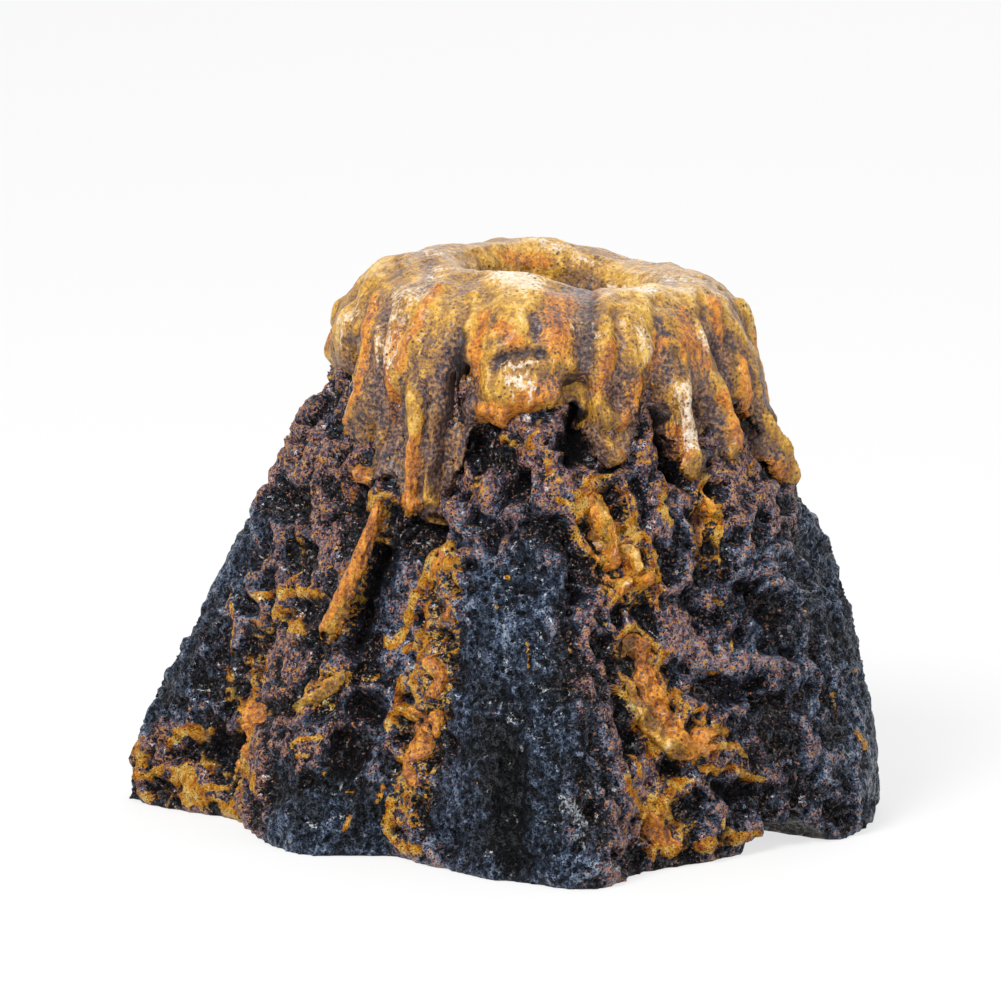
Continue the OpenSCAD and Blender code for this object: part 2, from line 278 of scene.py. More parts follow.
class Skin:
    """A mesh's points and normals as arrays, in mm."""

    # Widths away from its line at which a stroke ends, and size of the waves in a ragged edge
    reach = 2.2
    wave_size = 1.3

    def __init__(self, piece: Piece) -> None:
        """Reads a mesh object that is at the origin."""
        self.piece = piece
        self.read()

    def read(self) -> None:
        """Reads the points and normals as they are now."""
        mesh = self.piece.data
        flat = np.empty(len(mesh.vertices) * 3)
        mesh.vertices.foreach_get("co", flat)
        self.points = flat.reshape(-1, 3) / MM
        flat = np.empty(len(mesh.vertices) * 3)
        mesh.vertex_normals.foreach_get("vector", flat)
        self.normals = flat.reshape(-1, 3)

    def push(self, out: Array) -> None:
        """Moves each point out along its normal, by a distance in mm."""
        self.points += self.normals * out[:, None]
        self.write()

    def write(self) -> None:
        """Writes the points back and reads the new normals."""
        mesh = self.piece.data
        mesh.vertices.foreach_set("co", (self.points * MM).ravel())
        mesh.update()
        self.read()

    def mark(self, marks: dict[str, Array]) -> None:
        """Stores values at each point, for the finish to read.

        Args:
            marks: One value per point, by the name of the attribute.
        """
        for name, values in marks.items():
            layer = self.piece.data.attributes.new(name, "FLOAT", "POINT")
            layer.data.foreach_set("value", values.astype(np.float32))

    def share(self, path: Array, width: float) -> Array:
        """How much of a stroke each point gets: 1 on its line, next to none at twice its width.

        Args:
            path: The stroke's line.
            width: Half width of the tool.

        Returns:
            One share per point.
        """
        share = np.zeros(len(self.points))
        if not len(path):
            return share
        reach = self.reach * width
        inside = (self.points > path.min(0) - reach) & (self.points < path.max(0) + reach)
        near = np.flatnonzero(inside.all(axis=1))
        gap = np.full(len(near), np.inf)
        for p in path:
            gap = np.minimum(gap, ((self.points[near] - p) ** 2).sum(1))
        share[near] = np.exp(-gap / width**2)
        return share

    def drawn(self, ground: Ground, strokes: tuple[Stroke, ...], ragged: float = 0.0) -> Array:
        """All of a set of strokes, the strongest at each point.

        Args:
            ground: The surface that they are laid on.
            strokes: The strokes.
            ragged: How far a stroke's edge wanders, in mm.

        Returns:
            The height or strength at each point.
        """
        kept = self.points
        if ragged:
            self.points = kept + ragged * wander(kept, self.wave_size)
        total = np.zeros(len(kept))
        for stroke in strokes:
            here = self.share(ground.trace(stroke), stroke.width) * stroke.amount
            total = np.where(np.abs(here) > np.abs(total), here, total)
        self.points = kept
        return total


def smooth_band(values: Array, low: float, high: float) -> Array:
    """0 below low, 1 above high and a smooth rise between them."""
    t = np.clip((values - low) / (high - low), 0, 1)
    return t * t * (3 - 2 * t)


def fractal(points: Array, size: float, octaves: int, seed: float) -> Array:
    """Cloudy noise at each point.

    Args:
        points: Points in mm.
        size: Size of its largest lumps.
        octaves: Number of finer layers.
        seed: Offset that gives another pattern.

    Returns:
        Values of about -1 to 1.
    """
    shift = Vector([way * seed for way in NOISE_WAY])
    places = (Vector(p) / size + shift for p in points)
    return np.array([noise.fractal(place, NOISE_FADE, NOISE_SHRINK, octaves) for place in places])


def ridged(points: Array, size: float, seed: float) -> Array:
    """Noise with sharp crests, of about 0 to 1."""
    return 1 - np.minimum(1, CREST_SHARPNESS * np.abs(fractal(points, size, 2, seed)))


def wander(points: Array, size: float) -> Array:
    """A small random step at each point, of length about 1 at most."""
    return np.array([noise.noise_vector(Vector(p) / size) for p in points])


def pitted(points: Array, size: float, kept: float, seed: float) -> Array:
    """Round pits of different depths.

    Args:
        points: Points in mm.
        size: Mean distance between pits.
        kept: Share of the pits that are there.
        seed: Offset that gives another pattern.

    Returns:
        Depth of the pits, from 0 to 1.
    """
    shift = Vector([way * seed for way in PIT_WAY])
    depth = np.zeros(len(points))
    for i, p in enumerate(points):
        gaps, centres = noise.voronoi(Vector(p) / size + shift)
        luck = abs(math.sin(centres[0].dot(LUCK_WAY)))
        if luck < kept:
            depth[i] = max(0.0, 1 - (gaps[0] / (PIT_REACH + PIT_SPREAD * luck)) ** 2)
    return depth


# Work at the bench


def bench_copy(node: str, name: str) -> Piece:
    """A merged copy of a frame node's mesh, selected on its own.

    Args:
        node: Name of the node.
        name: Name of the new piece.

    Returns:
        The piece.
    """
    piece = bpy.data.objects.new(name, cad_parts[node].data.copy())
    bpy.context.scene.collection.objects.link(piece)
    pick(piece)
    bpy.ops.object.mode_set(mode="EDIT")
    bpy.ops.mesh.select_all(action="SELECT")
    bpy.ops.mesh.remove_doubles(threshold=MERGE_GAP)
    bpy.ops.object.mode_set(mode="OBJECT")
    piece.data.materials.clear()
    return piece


def pick(piece: Piece) -> None:
    """Selects one piece and makes it active."""
    bpy.ops.object.select_all(action="DESELECT")
    piece.select_set(True)
    bpy.context.view_layer.objects.active = piece


def turned(name: str, profile: list[Ring], foot: Point, level: bool) -> Piece:
    """Turns a piece: a ring is extruded and scaled along a closed profile.

    Args:
        name: Name of the piece.
        profile: Radius and distance along the axis of each ring, in mm.
        foot: Where the axis starts, in mm.
        level: True if the axis points along +Y, False if it points up.

    Returns:
        The piece.
    """
    bpy.ops.object.select_all(action="DESELECT")
    first_r, first_z = profile[0]
    start = (0.0, 0.0, first_z * MM)
    bpy.ops.mesh.primitive_circle_add(vertices=RING_SIDES, radius=first_r * MM, location=start)
    piece = bpy.context.active_object
    piece.name = name
    bpy.ops.object.mode_set(mode="EDIT")
    bpy.ops.mesh.select_mode(type="EDGE")
    bpy.ops.mesh.select_all(action="SELECT")
    for (near, low), (far, high) in zip(profile, profile[1:] + profile[:1]):
        bpy.ops.mesh.extrude_edges_move(TRANSFORM_OT_translate={"value": (0, 0, (high - low) * MM)})
        bpy.ops.transform.resize(value=(far / near, far / near, 1), center_override=(0, 0, 0))
    bpy.ops.mesh.select_all(action="SELECT")
    bpy.ops.mesh.remove_doubles(threshold=MERGE_GAP)
    bpy.ops.mesh.normals_make_consistent(inside=False)
    bpy.ops.object.mode_set(mode="OBJECT")
    piece.rotation_euler = (-math.pi / 2 if level else 0.0, 0.0, 0.0)
    bpy.ops.object.transform_apply(location=True, rotation=True, scale=True)
    piece.location = [c * MM for c in foot]
    bpy.ops.object.transform_apply(location=True, rotation=False, scale=False)
    ease(piece)
    return piece


def ease(piece: Piece) -> None:
    """Shades a piece smooth, but for its sharp edges."""
    pick(piece)
    bpy.ops.object.shade_smooth_by_angle(angle=SHARP_ANGLE)


def work(piece: Piece, kind: str, **settings: object) -> None:
    """Adds a modifier to a piece and applies it.

    Args:
        piece: The piece.
        kind: The modifier's type.
        settings: Its settings.
    """
    pick(piece)
    modifier = piece.modifiers.new(kind.lower(), kind)
    for name, value in settings.items():
        setattr(modifier, name, value)
    bpy.ops.object.modifier_apply(modifier=modifier.name)


def remesh(piece: Piece, voxel_mm: float, passes: int) -> None:
    """Rebuilds a piece as an even net of small faces, and eases its edges by smoothing passes."""
    work(piece, "REMESH", mode="VOXEL", voxel_size=voxel_mm * MM, use_smooth_shade=True)
    work(piece, "SMOOTH", factor=SMOOTHING, iterations=passes)


def refine(piece: Piece, chosen: Array) -> None:
    """Subdivides the chosen faces once.

    Args:
        piece: The piece.
        chosen: True for each face to divide.
    """
    pick(piece)
    bpy.ops.object.mode_set(mode="EDIT")
    bpy.ops.mesh.select_mode(type="FACE")
    bpy.ops.mesh.select_all(action="DESELECT")
    bpy.ops.object.mode_set(mode="OBJECT")
    piece.data.polygons.foreach_set("select", chosen)
    bpy.ops.object.mode_set(mode="EDIT")
    bpy.ops.mesh.subdivide(number_cuts=1, smoothness=0)
    bpy.ops.mesh.select_all(action="DESELECT")
    bpy.ops.object.mode_set(mode="OBJECT")
    bpy.ops.object.shade_smooth()


def place_piece(piece: Piece, finish: "Finish", body: Body, slot: Slot, node: str) -> None:
    """Dresses a piece, fixes it to its body, and hides the node that it stands for.

    Args:
        piece: The piece.
        finish: Its finish.
        body: Body that it rides on.
        slot: Not used.
        node: Node that it stands for.
    """
    piece.data.materials.append(finish.material)
    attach(piece, body.value)
    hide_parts(node)
    LOG.info("%s: %d points, on %s", piece.name, len(piece.data.vertices), body.value)


# Finishes


def paint(code: str) -> tuple[float, float, float, float]:
    """A colour from its hex code: red, green, blue and alpha in linear light."""
    parts = [int(code[i:i + 2], 16) / 255 for i in (1, 3, 5)]
    return (*Color(parts).from_srgb_to_scene_linear(), 1.0)


class NodeBench:
    """A shader node tree that is filled by short calls."""

    # Numbers of a Mix node's sockets: the factor, two colours in and a colour out, two values in
    factor = 0
    colours_in = (6, 7)
    colour_out = 2
    values_in = (2, 3)

    def __init__(self, tree: NodeTree) -> None:
        """Takes a tree to fill."""
        self.tree = tree

    def feed(self, node: bpy.types.Node, inputs: dict[str | int, object]) -> None:
        """Sets inputs of a node.

        Args:
            node: The node.
            inputs: Values or sockets for its inputs, by name or number.
        """
        for name, value in inputs.items():
            if isinstance(value, Socket):
                self.tree.links.new(value, node.inputs[name])
            else:
                node.inputs[name].default_value = value

    def add(self, kind: str, inputs: dict | None = None, **settings: object) -> bpy.types.Node:
        """Adds a node.

        Args:
            kind: The node's type, without the words ShaderNode.
            inputs: Values or sockets for its inputs, by name or number.
            settings: Its other settings.

        Returns:
            The node.
        """
        node = self.tree.nodes.new("ShaderNode" + kind)
        for name, value in settings.items():
            setattr(node, name, value)
        self.feed(node, inputs or {})
        return node

    def math(self, operation: str, a: Socket | float, b: Socket | float) -> Socket:
        """A Math node's result."""
        return self.add("Math", {0: a, 1: b}, operation=operation).outputs[0]

    def plus(self, a: Socket, b: Socket | float) -> Socket:
        """The sum of two values."""
        return self.math("ADD", a, b)

    def less(self, a: Socket | float, b: Socket | float) -> Socket:
        """A value less another."""
        return self.math("SUBTRACT", a, b)

    def times(self, a: Socket, b: Socket | float) -> Socket:
        """The product of two values."""
        return self.math("MULTIPLY", a, b)

    def weigh(self, *parts: tuple[Socket, float]) -> Socket:
        """Adds values up, each with its own weight.

        Args:
            parts: The values and their weights.

        Returns:
            The sum.
        """
        total = self.times(*parts[0])
        for value, weight in parts[1:]:
            total = self.plus(total, self.times(value, weight))
        return total

    def swing(self, value: Socket, reach: float | Socket) -> Socket:
        """A value of about 0 to 1 as a swing to both sides of 0."""
        return self.times(self.less(value, 0.5), reach)

    def blend(self, factor: Socket, first: Socket, second: Socket | tuple) -> Socket:
        """A mix of two colours."""
        inputs = dict(zip((self.factor, *self.colours_in), (factor, first, second)))
        return self.add("Mix", inputs, data_type="RGBA").outputs[self.colour_out]

    def band(self, value: Socket, low: float, high: float, start: float = 0.0, end: float = 1.0) -> Socket:
        """A smooth rise from start to end, while a value goes from low to high."""
        spans = {"Value": value, "From Min": low, "From Max": high, "To Min": start, "To Max": end}
        return self.add("MapRange", spans, interpolation_type="SMOOTHSTEP").outputs[0]

    def clouds(self, where: Socket, size_mm: float, detail: float = 3.0, rough: float = 0.55) -> Socket:
        """Noise with lumps of a size in mm."""
        spans = {"Vector": where, "Scale": 1 / (size_mm * MM), "Detail": detail, "Roughness": rough}
        return self.add("TexNoise", spans).outputs[0]

    def ramp(self, value: Socket, stops: Stops) -> Socket:
        """Colours along a value.

        Args:
            value: The value.
            stops: Places along it and their colours.

        Returns:
            The colour.
        """
        node = self.add("ValToRGB", {"Fac": value})
        places = node.color_ramp.elements
        while len(places) < len(stops):
            places.new(1.0)
        for place, (at, code) in zip(places, stops):
            place.position = at
            place.color = paint(code)
        return node.outputs[0]

    def mark(self, name: str) -> Socket:
        """The value of a point attribute."""
        return self.add("Attribute", attribute_name=name, attribute_type="GEOMETRY").outputs["Fac"]


class Effect:
    """A shader node group that is filled by a bench."""

    def __init__(self, name: str, inputs: dict[str, str], outputs: list[str]) -> None:
        """Starts the group.

        Args:
            name: Name of the group.
            inputs: Kind of each input by name.
            outputs: Names of its outputs, which are values.
        """
        self.tree = bpy.data.node_groups.new(name, "ShaderNodeTree")
        for label, kind in inputs.items():
            self.tree.interface.new_socket(label, in_out="INPUT", socket_type="NodeSocket" + kind)
        for label in outputs:
            self.tree.interface.new_socket(label, in_out="OUTPUT", socket_type="NodeSocketFloat")
        self.bench = NodeBench(self.tree)
        self.given = self.tree.nodes.new("NodeGroupInput").outputs
        self.end = self.tree.nodes.new("NodeGroupOutput")

    def clouds(self, where: Socket, rough: float) -> Socket:
        """Noise of the scale that the group is given."""
        spans = {"Vector": where, "Scale": self.given["Scale"], "Detail": 4.0, "Roughness": rough}
        return self.bench.add("TexNoise", spans).outputs[0]

    def put_out(self, outputs: dict[str, Socket]) -> None:
        """Joins results to the group's outputs."""
        self.bench.feed(self.end, outputs)


class Effects:
    """Effects that more than one finish uses, each a shader node group."""

    crumb_rough = 0.62
    hole_tightness = 0.8
    hole_band: Band = (0.42, 0.12)
    hole_depth = 0.45
    paint_rough = 0.6
    paint_band: Band = (0.4, 0.58)
    streak_stretch: Point = (1.0, 1.0, 0.32)

    def __init__(self) -> None:
        """Builds the groups."""
        self.grain = self.make_grain()
        self.ragged = self.make_ragged()
        self.streaks = self.make_streaks()

    def make_grain(self) -> NodeTree:
        """Cast grain: crumbs and pin holes, with the height of the surface.

        Returns:
            The group, with outputs Height and Holes.
        """
        group = Effect("cast_grain", {"Where": "Vector", "Scale": "Float"}, ["Height", "Holes"])
        bench, where = group.bench, group.given["Where"]
        crumbs = group.clouds(where, self.crumb_rough)
        tighter = bench.times(group.given["Scale"], self.hole_tightness)
        cells = bench.add("TexVoronoi", {"Vector": where, "Scale": tighter}).outputs["Distance"]
        holes = bench.band(cells, *self.hole_band)
        group.put_out({"Height": bench.less(crumbs, bench.times(holes, self.hole_depth)), "Holes": holes})
        return group.tree

    def make_ragged(self) -> NodeTree:
        """Ragged edge: breaks a soft mask up into daubs of paint.

        Returns:
            The group, with output Mask.
        """
        kinds = {"Where": "Vector", "Mask": "Float", "Scale": "Float", "Spread": "Float"}
        group = Effect("ragged_paint", kinds, ["Mask"])
        bench, given = group.bench, group.given
        swing = bench.swing(group.clouds(given["Where"], self.paint_rough), given["Spread"])
        group.put_out({"Mask": bench.band(bench.plus(given["Mask"], swing), *self.paint_band)})
        return group.tree

    def make_streaks(self) -> NodeTree:
        """Flow streaks: noise that is drawn out down the slope.

        Returns:
            The group, with output Streak.
        """
        group = Effect("flow_streaks", {"Where": "Vector", "Scale": "Float"}, ["Streak"])
        inputs = {"Vector": group.given["Where"], "Scale": self.streak_stretch}
        drawn = group.bench.add("Mapping", inputs).outputs[0]
        group.put_out({"Streak": group.clouds(drawn, self.paint_rough)})
        return group.tree


class Finish:
    """A material on Object coordinates with one glossy surface."""

    def __init__(self, name: str, effects: Effects) -> None:
        """Starts the material.

        Args:
            name: Name of the material.
            effects: The shared effects.
        """
        self.material = bpy.data.materials.new(name)
        self.material.use_nodes = True
        self.effects = effects
        self.bench = NodeBench(self.material.node_tree)
        self.shader = self.material.node_tree.nodes["Principled BSDF"]
        self.where = self.bench.add("TexCoord").outputs["Object"]

    def give(self, name: str, value: Socket | float) -> None:
        """Sets one of the shader's inputs."""
        self.bench.feed(self.shader, {name: value})

    def share(self, group: NodeTree, size_mm: float, **inputs: Socket | float) -> bpy.types.Node:
        """A shared effect, at a size in mm."""
        placed = {"Where": self.where, "Scale": 1 / (size_mm * MM), **inputs}
        return self.bench.add("Group", placed, node_tree=group)

    def grain(self, size_mm: float) -> tuple[Socket, Socket]:
        """Height and holes of cast grain, with crumbs of a size in mm."""
        node = self.share(self.effects.grain, size_mm)
        return node.outputs["Height"], node.outputs["Holes"]

    def ragged(self, mask: Socket, size_mm: float, spread: float) -> Socket:
        """A mask broken up into daubs of a size in mm."""
        return self.share(self.effects.ragged, size_mm, Mask=mask, Spread=spread).outputs["Mask"]

    def streak(self, size_mm: float) -> Socket:
        """Flow streaks of a width in mm."""
        return self.share(self.effects.streaks, size_mm).outputs["Streak"]

    def bump(self, *heights: tuple[Socket, float]) -> None:
        """Gives the surface fine relief.

        Args:
            heights: Heights and their depths in mm.
        """
        inputs = {"Strength": 1.0}
        for height, depth_mm in heights:
            inputs |= {"Height": height, "Distance": depth_mm * MM}
            inputs["Normal"] = self.bench.add("Bump", inputs).outputs[0]
        self.give("Normal", inputs["Normal"])


class RockFinish(Finish):
    """Black cast rock, dry-brushed with copper and orange; pale bare resin inside."""

    # Sizes of the patterns, in mm
    fine_mm = 0.21
    coarse_mm = 0.62
    brush_mm = 0.5
    broad_mm = 7.0
    tone_mm = 0.42
    fleck_mm = 0.3
    daub_mm = 1.1
    resin_mm = 3.0

    # Colours along the patterns
    # The stone's darkest stops are painted shade in the hollows of the grain, and its palest stops are
    # painted highlights on the top crumbs
    stone_ramp: Stops = ((0.3, "#04060a"), (0.39, "#10161f"), (0.46, "#212d3e"), (0.53, "#41516a"),
                         (0.59, "#7486a2"), (0.66, "#b4bfcc"))
    copper_ramp: Stops = ((0.33, "#2a2634"), (0.41, "#5c4b62"), (0.48, "#8c5a48"), (0.54, "#c49a98"),
                          (0.6, "#c9813f"), (0.67, "#e0a544"))
    orange_ramp: Stops = ((0.35, "#8c4712"), (0.43, "#cc7c14"), (0.51, "#e8a228"), (0.61, "#f2c66a"))
    gold_ramp: Stops = ((0.34, "#7d7030"), (0.45, "#cd9c30"), (0.56, "#dfb94f"), (0.68, "#ead9ae"))
    chip_ramp: Stops = ((0.36, "#8d949e"), (0.6, "#d4d9df"))
    resin_ramp: Stops = ((0.3, "#4d4943"), (0.7, "#6f6960"))
    # Painted shade: near black painted into the deep caves, and how fully it covers them
    cave_shade_colour = "#030305"
    cave_shade_cover = 0.88

    # Weights of the patterns and marks in the tone of the stone and in the copper
    fine_weight = 0.38
    coarse_weight = 0.34
    brush_weight = 0.28
    # Painted light and shade: raised relief is painted lighter and low relief darker
    raised_light_weight = 0.13
    broad_weight = 0.25
    # Painted shade: the marked dark parts of the rock are painted blacker
    painted_shade_weight = -0.09
    copper_speckle = 0.52
    copper_relief = 0.34

    # Size in mm and spread of the ragged edges of each paint
    copper_edge = (0.36, 1.4)
    orange_edge = (0.42, 1.25)
    gold_edge = (0.6, 0.9)
    chip_edge = (0.45, 1.5)

    # Levels between which a pattern or mark takes hold
    crumb_band: Band = (0.34, 0.5)
    fleck_band: Band = (0.58, 0.66)
    fleck_zone: Band = (0.2, 0.6)
    raised_band: Band = (-1.0, -0.45)
    chip_band = (0.4, 0.5, 0.15)
    hole_cover = 0.6

    # Gloss
    rough_band = (0.3, 0.7, 0.3, 0.55)
    dull = 0.2
    specular = 0.16
    coat_band = (0.46, 0.58, 0.0, 0.8)
    coat_rough = 0.22
    coarse_depth_mm = 0.8
    fine_depth_mm = 0.5

    def __init__(self, effects: Effects) -> None:
        """Builds the material."""
        super().__init__("cast_rock", effects)
        bench = self.bench
        self.fine, self.holes = self.grain(self.fine_mm)
        coarse, _ = self.grain(self.coarse_mm)
        self.relief, cave_shade, bare = (bench.mark(name) for name in ("relief", "cave_shade", "bare"))
        self.tone = bench.clouds(self.where, self.tone_mm)
        self.height = bench.weigh((self.fine, self.fine_weight), (coarse, self.coarse_weight),
                                  (self.streak(self.brush_mm), self.brush_weight))
        colour = self.add_lava_paint(self.add_copper(self.stone()))
        # Painted shade: the deep caves are painted near black
        colour = bench.blend(bench.times(cave_shade, self.cave_shade_cover), colour, paint(self.cave_shade_colour))
        colour = self.add_chips(colour)
        resin = bench.ramp(bench.clouds(self.where, self.resin_mm), self.resin_ramp)
        self.give("Base Color", bench.blend(bare, colour, resin))
        dull = bench.times(bench.math("MAXIMUM", bare, cave_shade), self.dull)
        self.give("Roughness", bench.plus(bench.band(self.tone, *self.rough_band), dull))
        self.give("Specular IOR Level", self.specular)
        glints = bench.band(self.height, *self.coat_band)
        self.give("Coat Weight", bench.times(glints, bench.less(1.0, cave_shade)))
        self.give("Coat Roughness", self.coat_rough)
        self.bump((coarse, self.coarse_depth_mm), (self.fine, self.fine_depth_mm))

    def stone(self) -> Socket:
        """The bare stone, from black in its hollows to slate on its crumbs, partly painted shade in the
        hollows and painted highlights on the crumbs and raised relief.

        Returns:
            The colour.
        """
        bench = self.bench
        broad = bench.less(bench.clouds(self.where, self.broad_mm, 2.0), 0.5)
        # Painted light and shade: lighter on raised relief, darker on the marked dark parts
        level = bench.weigh((self.relief, self.raised_light_weight), (broad, self.broad_weight),
                            (bench.mark("painted_shade"), self.painted_shade_weight))
        return bench.ramp(bench.plus(self.height, level), self.stone_ramp)

    def add_copper(self, colour: Socket) -> Socket:
        """Brushes copper over the crumbs, and sets flecks of it in the speckled parts.

        Args:
            colour: Colour under it.

        Returns:
            The colour.
        """
        bench, speckle = self.bench, self.bench.mark("speckle")
        copper = bench.ramp(self.tone, self.copper_ramp)
        brushed = bench.weigh((speckle, self.copper_speckle), (self.relief, self.copper_relief))
        crumbs = bench.band(self.fine, *self.crumb_band)
        colour = bench.blend(bench.times(self.ragged(brushed, *self.copper_edge), crumbs), colour, copper)
        flecks = bench.band(bench.clouds(self.where, self.fleck_mm, 2.0, 0.6), *self.fleck_band)
        return bench.blend(bench.times(flecks, bench.band(speckle, *self.fleck_zone)), colour, copper)

    def add_lava_paint(self, colour: Socket) -> Socket:
        """Paints the orange webs and the pools of gold.

        Args:
            colour: Colour under them.

        Returns:
            The colour.
        """
        bench = self.bench
        daubs = bench.clouds(self.where, self.daub_mm, 4.0, 0.65)
        open_face = bench.less(1.0, bench.times(self.holes, self.hole_cover))
        raised = bench.times(open_face, bench.band(self.relief, *self.raised_band))
        webs = bench.times(self.ragged(bench.mark("orange"), *self.orange_edge), raised)
        colour = bench.blend(webs, colour, bench.ramp(daubs, self.orange_ramp))
        pools = bench.times(self.ragged(bench.mark("gold"), *self.gold_edge), open_face)
        return bench.blend(pools, colour, bench.ramp(daubs, self.gold_ramp))

    def add_chips(self, colour: Socket) -> Socket:
        """Shows pale chips where the paint is knocked off.

        Args:
            colour: Colour round them.

        Returns:
            The colour.
        """
        bench = self.bench
        knocked = self.ragged(bench.mark("chip"), *self.chip_edge)
        chips = bench.times(knocked, bench.band(self.height, *self.chip_band))
        return bench.blend(chips, colour, bench.ramp(self.tone, self.chip_ramp))


class LavaFinish(Finish):
    """Poured lava: ochre and orange with pale lips and painted highlights, a purple wash in the folds that
    is partly painted shade, and soot at the drips.
    """

    # Sizes of the patterns, in mm
    grain_mm = 0.4
    flow_mm = 0.95
    wrinkle_mm = 0.36
    broad_mm = 3.4
    mottle_mm = 0.36
    speck_mm = 0.26
    pin_zone_mm = 2.2

    # Colours along the patterns
    ochre_ramp: Stops = ((0.34, "#44302b"), (0.41, "#765128"), (0.47, "#966823"), (0.53, "#b98624"),
                         (0.6, "#deaa36"), (0.7, "#f0d890"))
    hot_ramp: Stops = ((0.33, "#74390f"), (0.4, "#b4680f"), (0.46, "#da8a16"), (0.54, "#eaac38"))
    # Cream that is partly painted highlight
    cream_and_highlight_ramp: Stops = ((0.34, "#d2ac88"), (0.48, "#ead2b6"), (0.6, "#f6ecdf"))
    # Soot and painted shade
    soot_and_shade_ramp: Stops = ((0.37, "#171219"), (0.46, "#392b35"), (0.53, "#6a4f4e"), (0.62, "#a37850"))
    # Painted shade: near black in the creases and in the tube's mouth
    hollow_shade_colour = "#181013"
    pin_colour = "#2b1d1a"

    # Weights of the patterns and marks in the ochre, the pale lips with their painted highlights, and the
    # wash of soot and painted shade
    flow_weight = 0.45
    mottle_weight = 0.4
    broad_weight = 0.15
    # Painted light: raised parts are painted lighter
    raised_light_weight = 0.09
    soot_and_shade_level = 0.34
    soot_and_shade_weight = -0.18
    lip_weight = 0.62
    # Painted highlights: raised parts get more cream
    lip_highlight_relief = 0.15
    lip_cover = 0.92
    wash_soot_and_shade = 0.8
    # Painted shade: the wash is thicker in the hollows
    wash_shade_relief = -0.42
    wash_wrinkle = -0.8
    wash_cover = 0.84
    speck_wash = 0.26

    # How much the broad and the fine streaks break a paint up
    hot_break = (1.2, 0.9)
    lip_break = (0.6, 1.4)
    wash_edge = (0.3, 2.0)

    # Levels between which a pattern or mark takes hold
    brush_band: Band = (0.38, 0.66)
    lip_band: Band = (0.2, 0.5)
    speck_band = (0.6, 0.7, 0.0, 0.8)
    hollow_shade_band = (0.14, 0.75, 0.0, 0.95)
    pin_zone: Band = (0.5, 0.62)

    # Gloss
    rough_band = (0.3, 0.7, 0.3, 0.5)
    coat_band = (0.35, 0.7, 0.1, 0.4)
    coat_rough = 0.22
    flow_depth_mm = 0.3
    mottle_depth_mm = 0.24
    wrinkle_depth_mm = 0.12
    grain_depth_mm = 0.12

    def __init__(self, effects: Effects) -> None:
        """Builds the material."""
        super().__init__("poured_lava", effects)
        bench = self.bench
        self.fine, holes = self.grain(self.grain_mm)
        self.flow, self.wrinkle = self.streak(self.flow_mm), self.streak(self.wrinkle_mm)
        self.broad = bench.clouds(self.where, self.broad_mm)
        self.mottle = bench.clouds(self.where, self.mottle_mm, 4.0, 0.65)
        self.relief, self.soot_and_shade = bench.mark("relief"), bench.mark("soot_and_shade")
        colour = self.add_wash(self.add_cream_and_highlights(self.ochre()))
        # Painted shade: the creases and the tube's mouth are painted near black
        folds = bench.band(bench.mark("hollow_shade"), *self.hollow_shade_band)
        colour = bench.blend(folds, colour, paint(self.hollow_shade_colour))
        zone = bench.band(bench.clouds(self.where, self.pin_zone_mm), *self.pin_zone)
        self.give("Base Color", bench.blend(bench.times(holes, zone), colour, paint(self.pin_colour)))
        self.give("Roughness", bench.band(self.mottle, *self.rough_band))
        self.give("Coat Weight", bench.band(self.broad, *self.coat_band))
        self.give("Coat Roughness", self.coat_rough)
        self.bump((self.flow, self.flow_depth_mm), (self.mottle, self.mottle_depth_mm),
                  (self.wrinkle, self.wrinkle_depth_mm), (self.fine, self.grain_depth_mm))

    def brushed(self, strength: Socket, by_flow: float, by_wrinkle: float) -> Socket:
        """A mask drawn out along the flow.

        Args:
            strength: Strength of the paint.
            by_flow: How much the broad streaks break it up.
            by_wrinkle: How much the fine streaks do.

        Returns:
            The mask.
        """
        bench = self.bench
        streaks = bench.plus(bench.swing(self.flow, by_flow), bench.swing(self.wrinkle, by_wrinkle))
        return bench.band(bench.plus(strength, streaks), *self.brush_band)

    def ochre(self) -> Socket:
        """Streaked ochre, painted lighter on raised parts as light and darker under soot and painted shade,
        with orange where it is marked.

        Returns:
            The colour.
        """
        bench = self.bench
        mixed = bench.weigh((self.flow, self.flow_weight), (self.mottle, self.mottle_weight))
        sooty_and_shaded = bench.less(self.soot_and_shade, self.soot_and_shade_level)
        tone = bench.weigh((mixed, 1.0), (self.broad, self.broad_weight), (self.relief, self.raised_light_weight),
                           (sooty_and_shaded, self.soot_and_shade_weight))
        hot = self.brushed(bench.mark("orange"), *self.hot_break)
        return bench.blend(hot, bench.ramp(tone, self.ochre_ramp), bench.ramp(mixed, self.hot_ramp))

    def add_cream_and_highlights(self, colour: Socket) -> Socket:
        """Brushes cream on the lips and other raised parts, partly as painted highlights.

        Args:
            colour: Colour under it.

        Returns:
            The colour.
        """
        bench = self.bench
        lips = bench.weigh((bench.mark("cream_and_highlight"), self.lip_weight), (self.relief, self.lip_highlight_relief))
        cream_and_highlight = bench.times(self.brushed(lips, *self.lip_break), bench.band(self.fine, *self.lip_band))
        cream = bench.ramp(self.mottle, self.cream_and_highlight_ramp)
        return bench.blend(bench.times(cream_and_highlight, self.lip_cover), colour, cream)

    def add_wash(self, colour: Socket) -> Socket:
        """Washes soot over the lava, most of all low down, and paints shade into the hollows; dark specks
        thicken with both.

        Args:
            colour: Colour under it.

        Returns:
            The colour.
        """
        bench = self.bench
        soot_and_shade = bench.ramp(bench.clouds(self.where, self.mottle_mm), self.soot_and_shade_ramp)
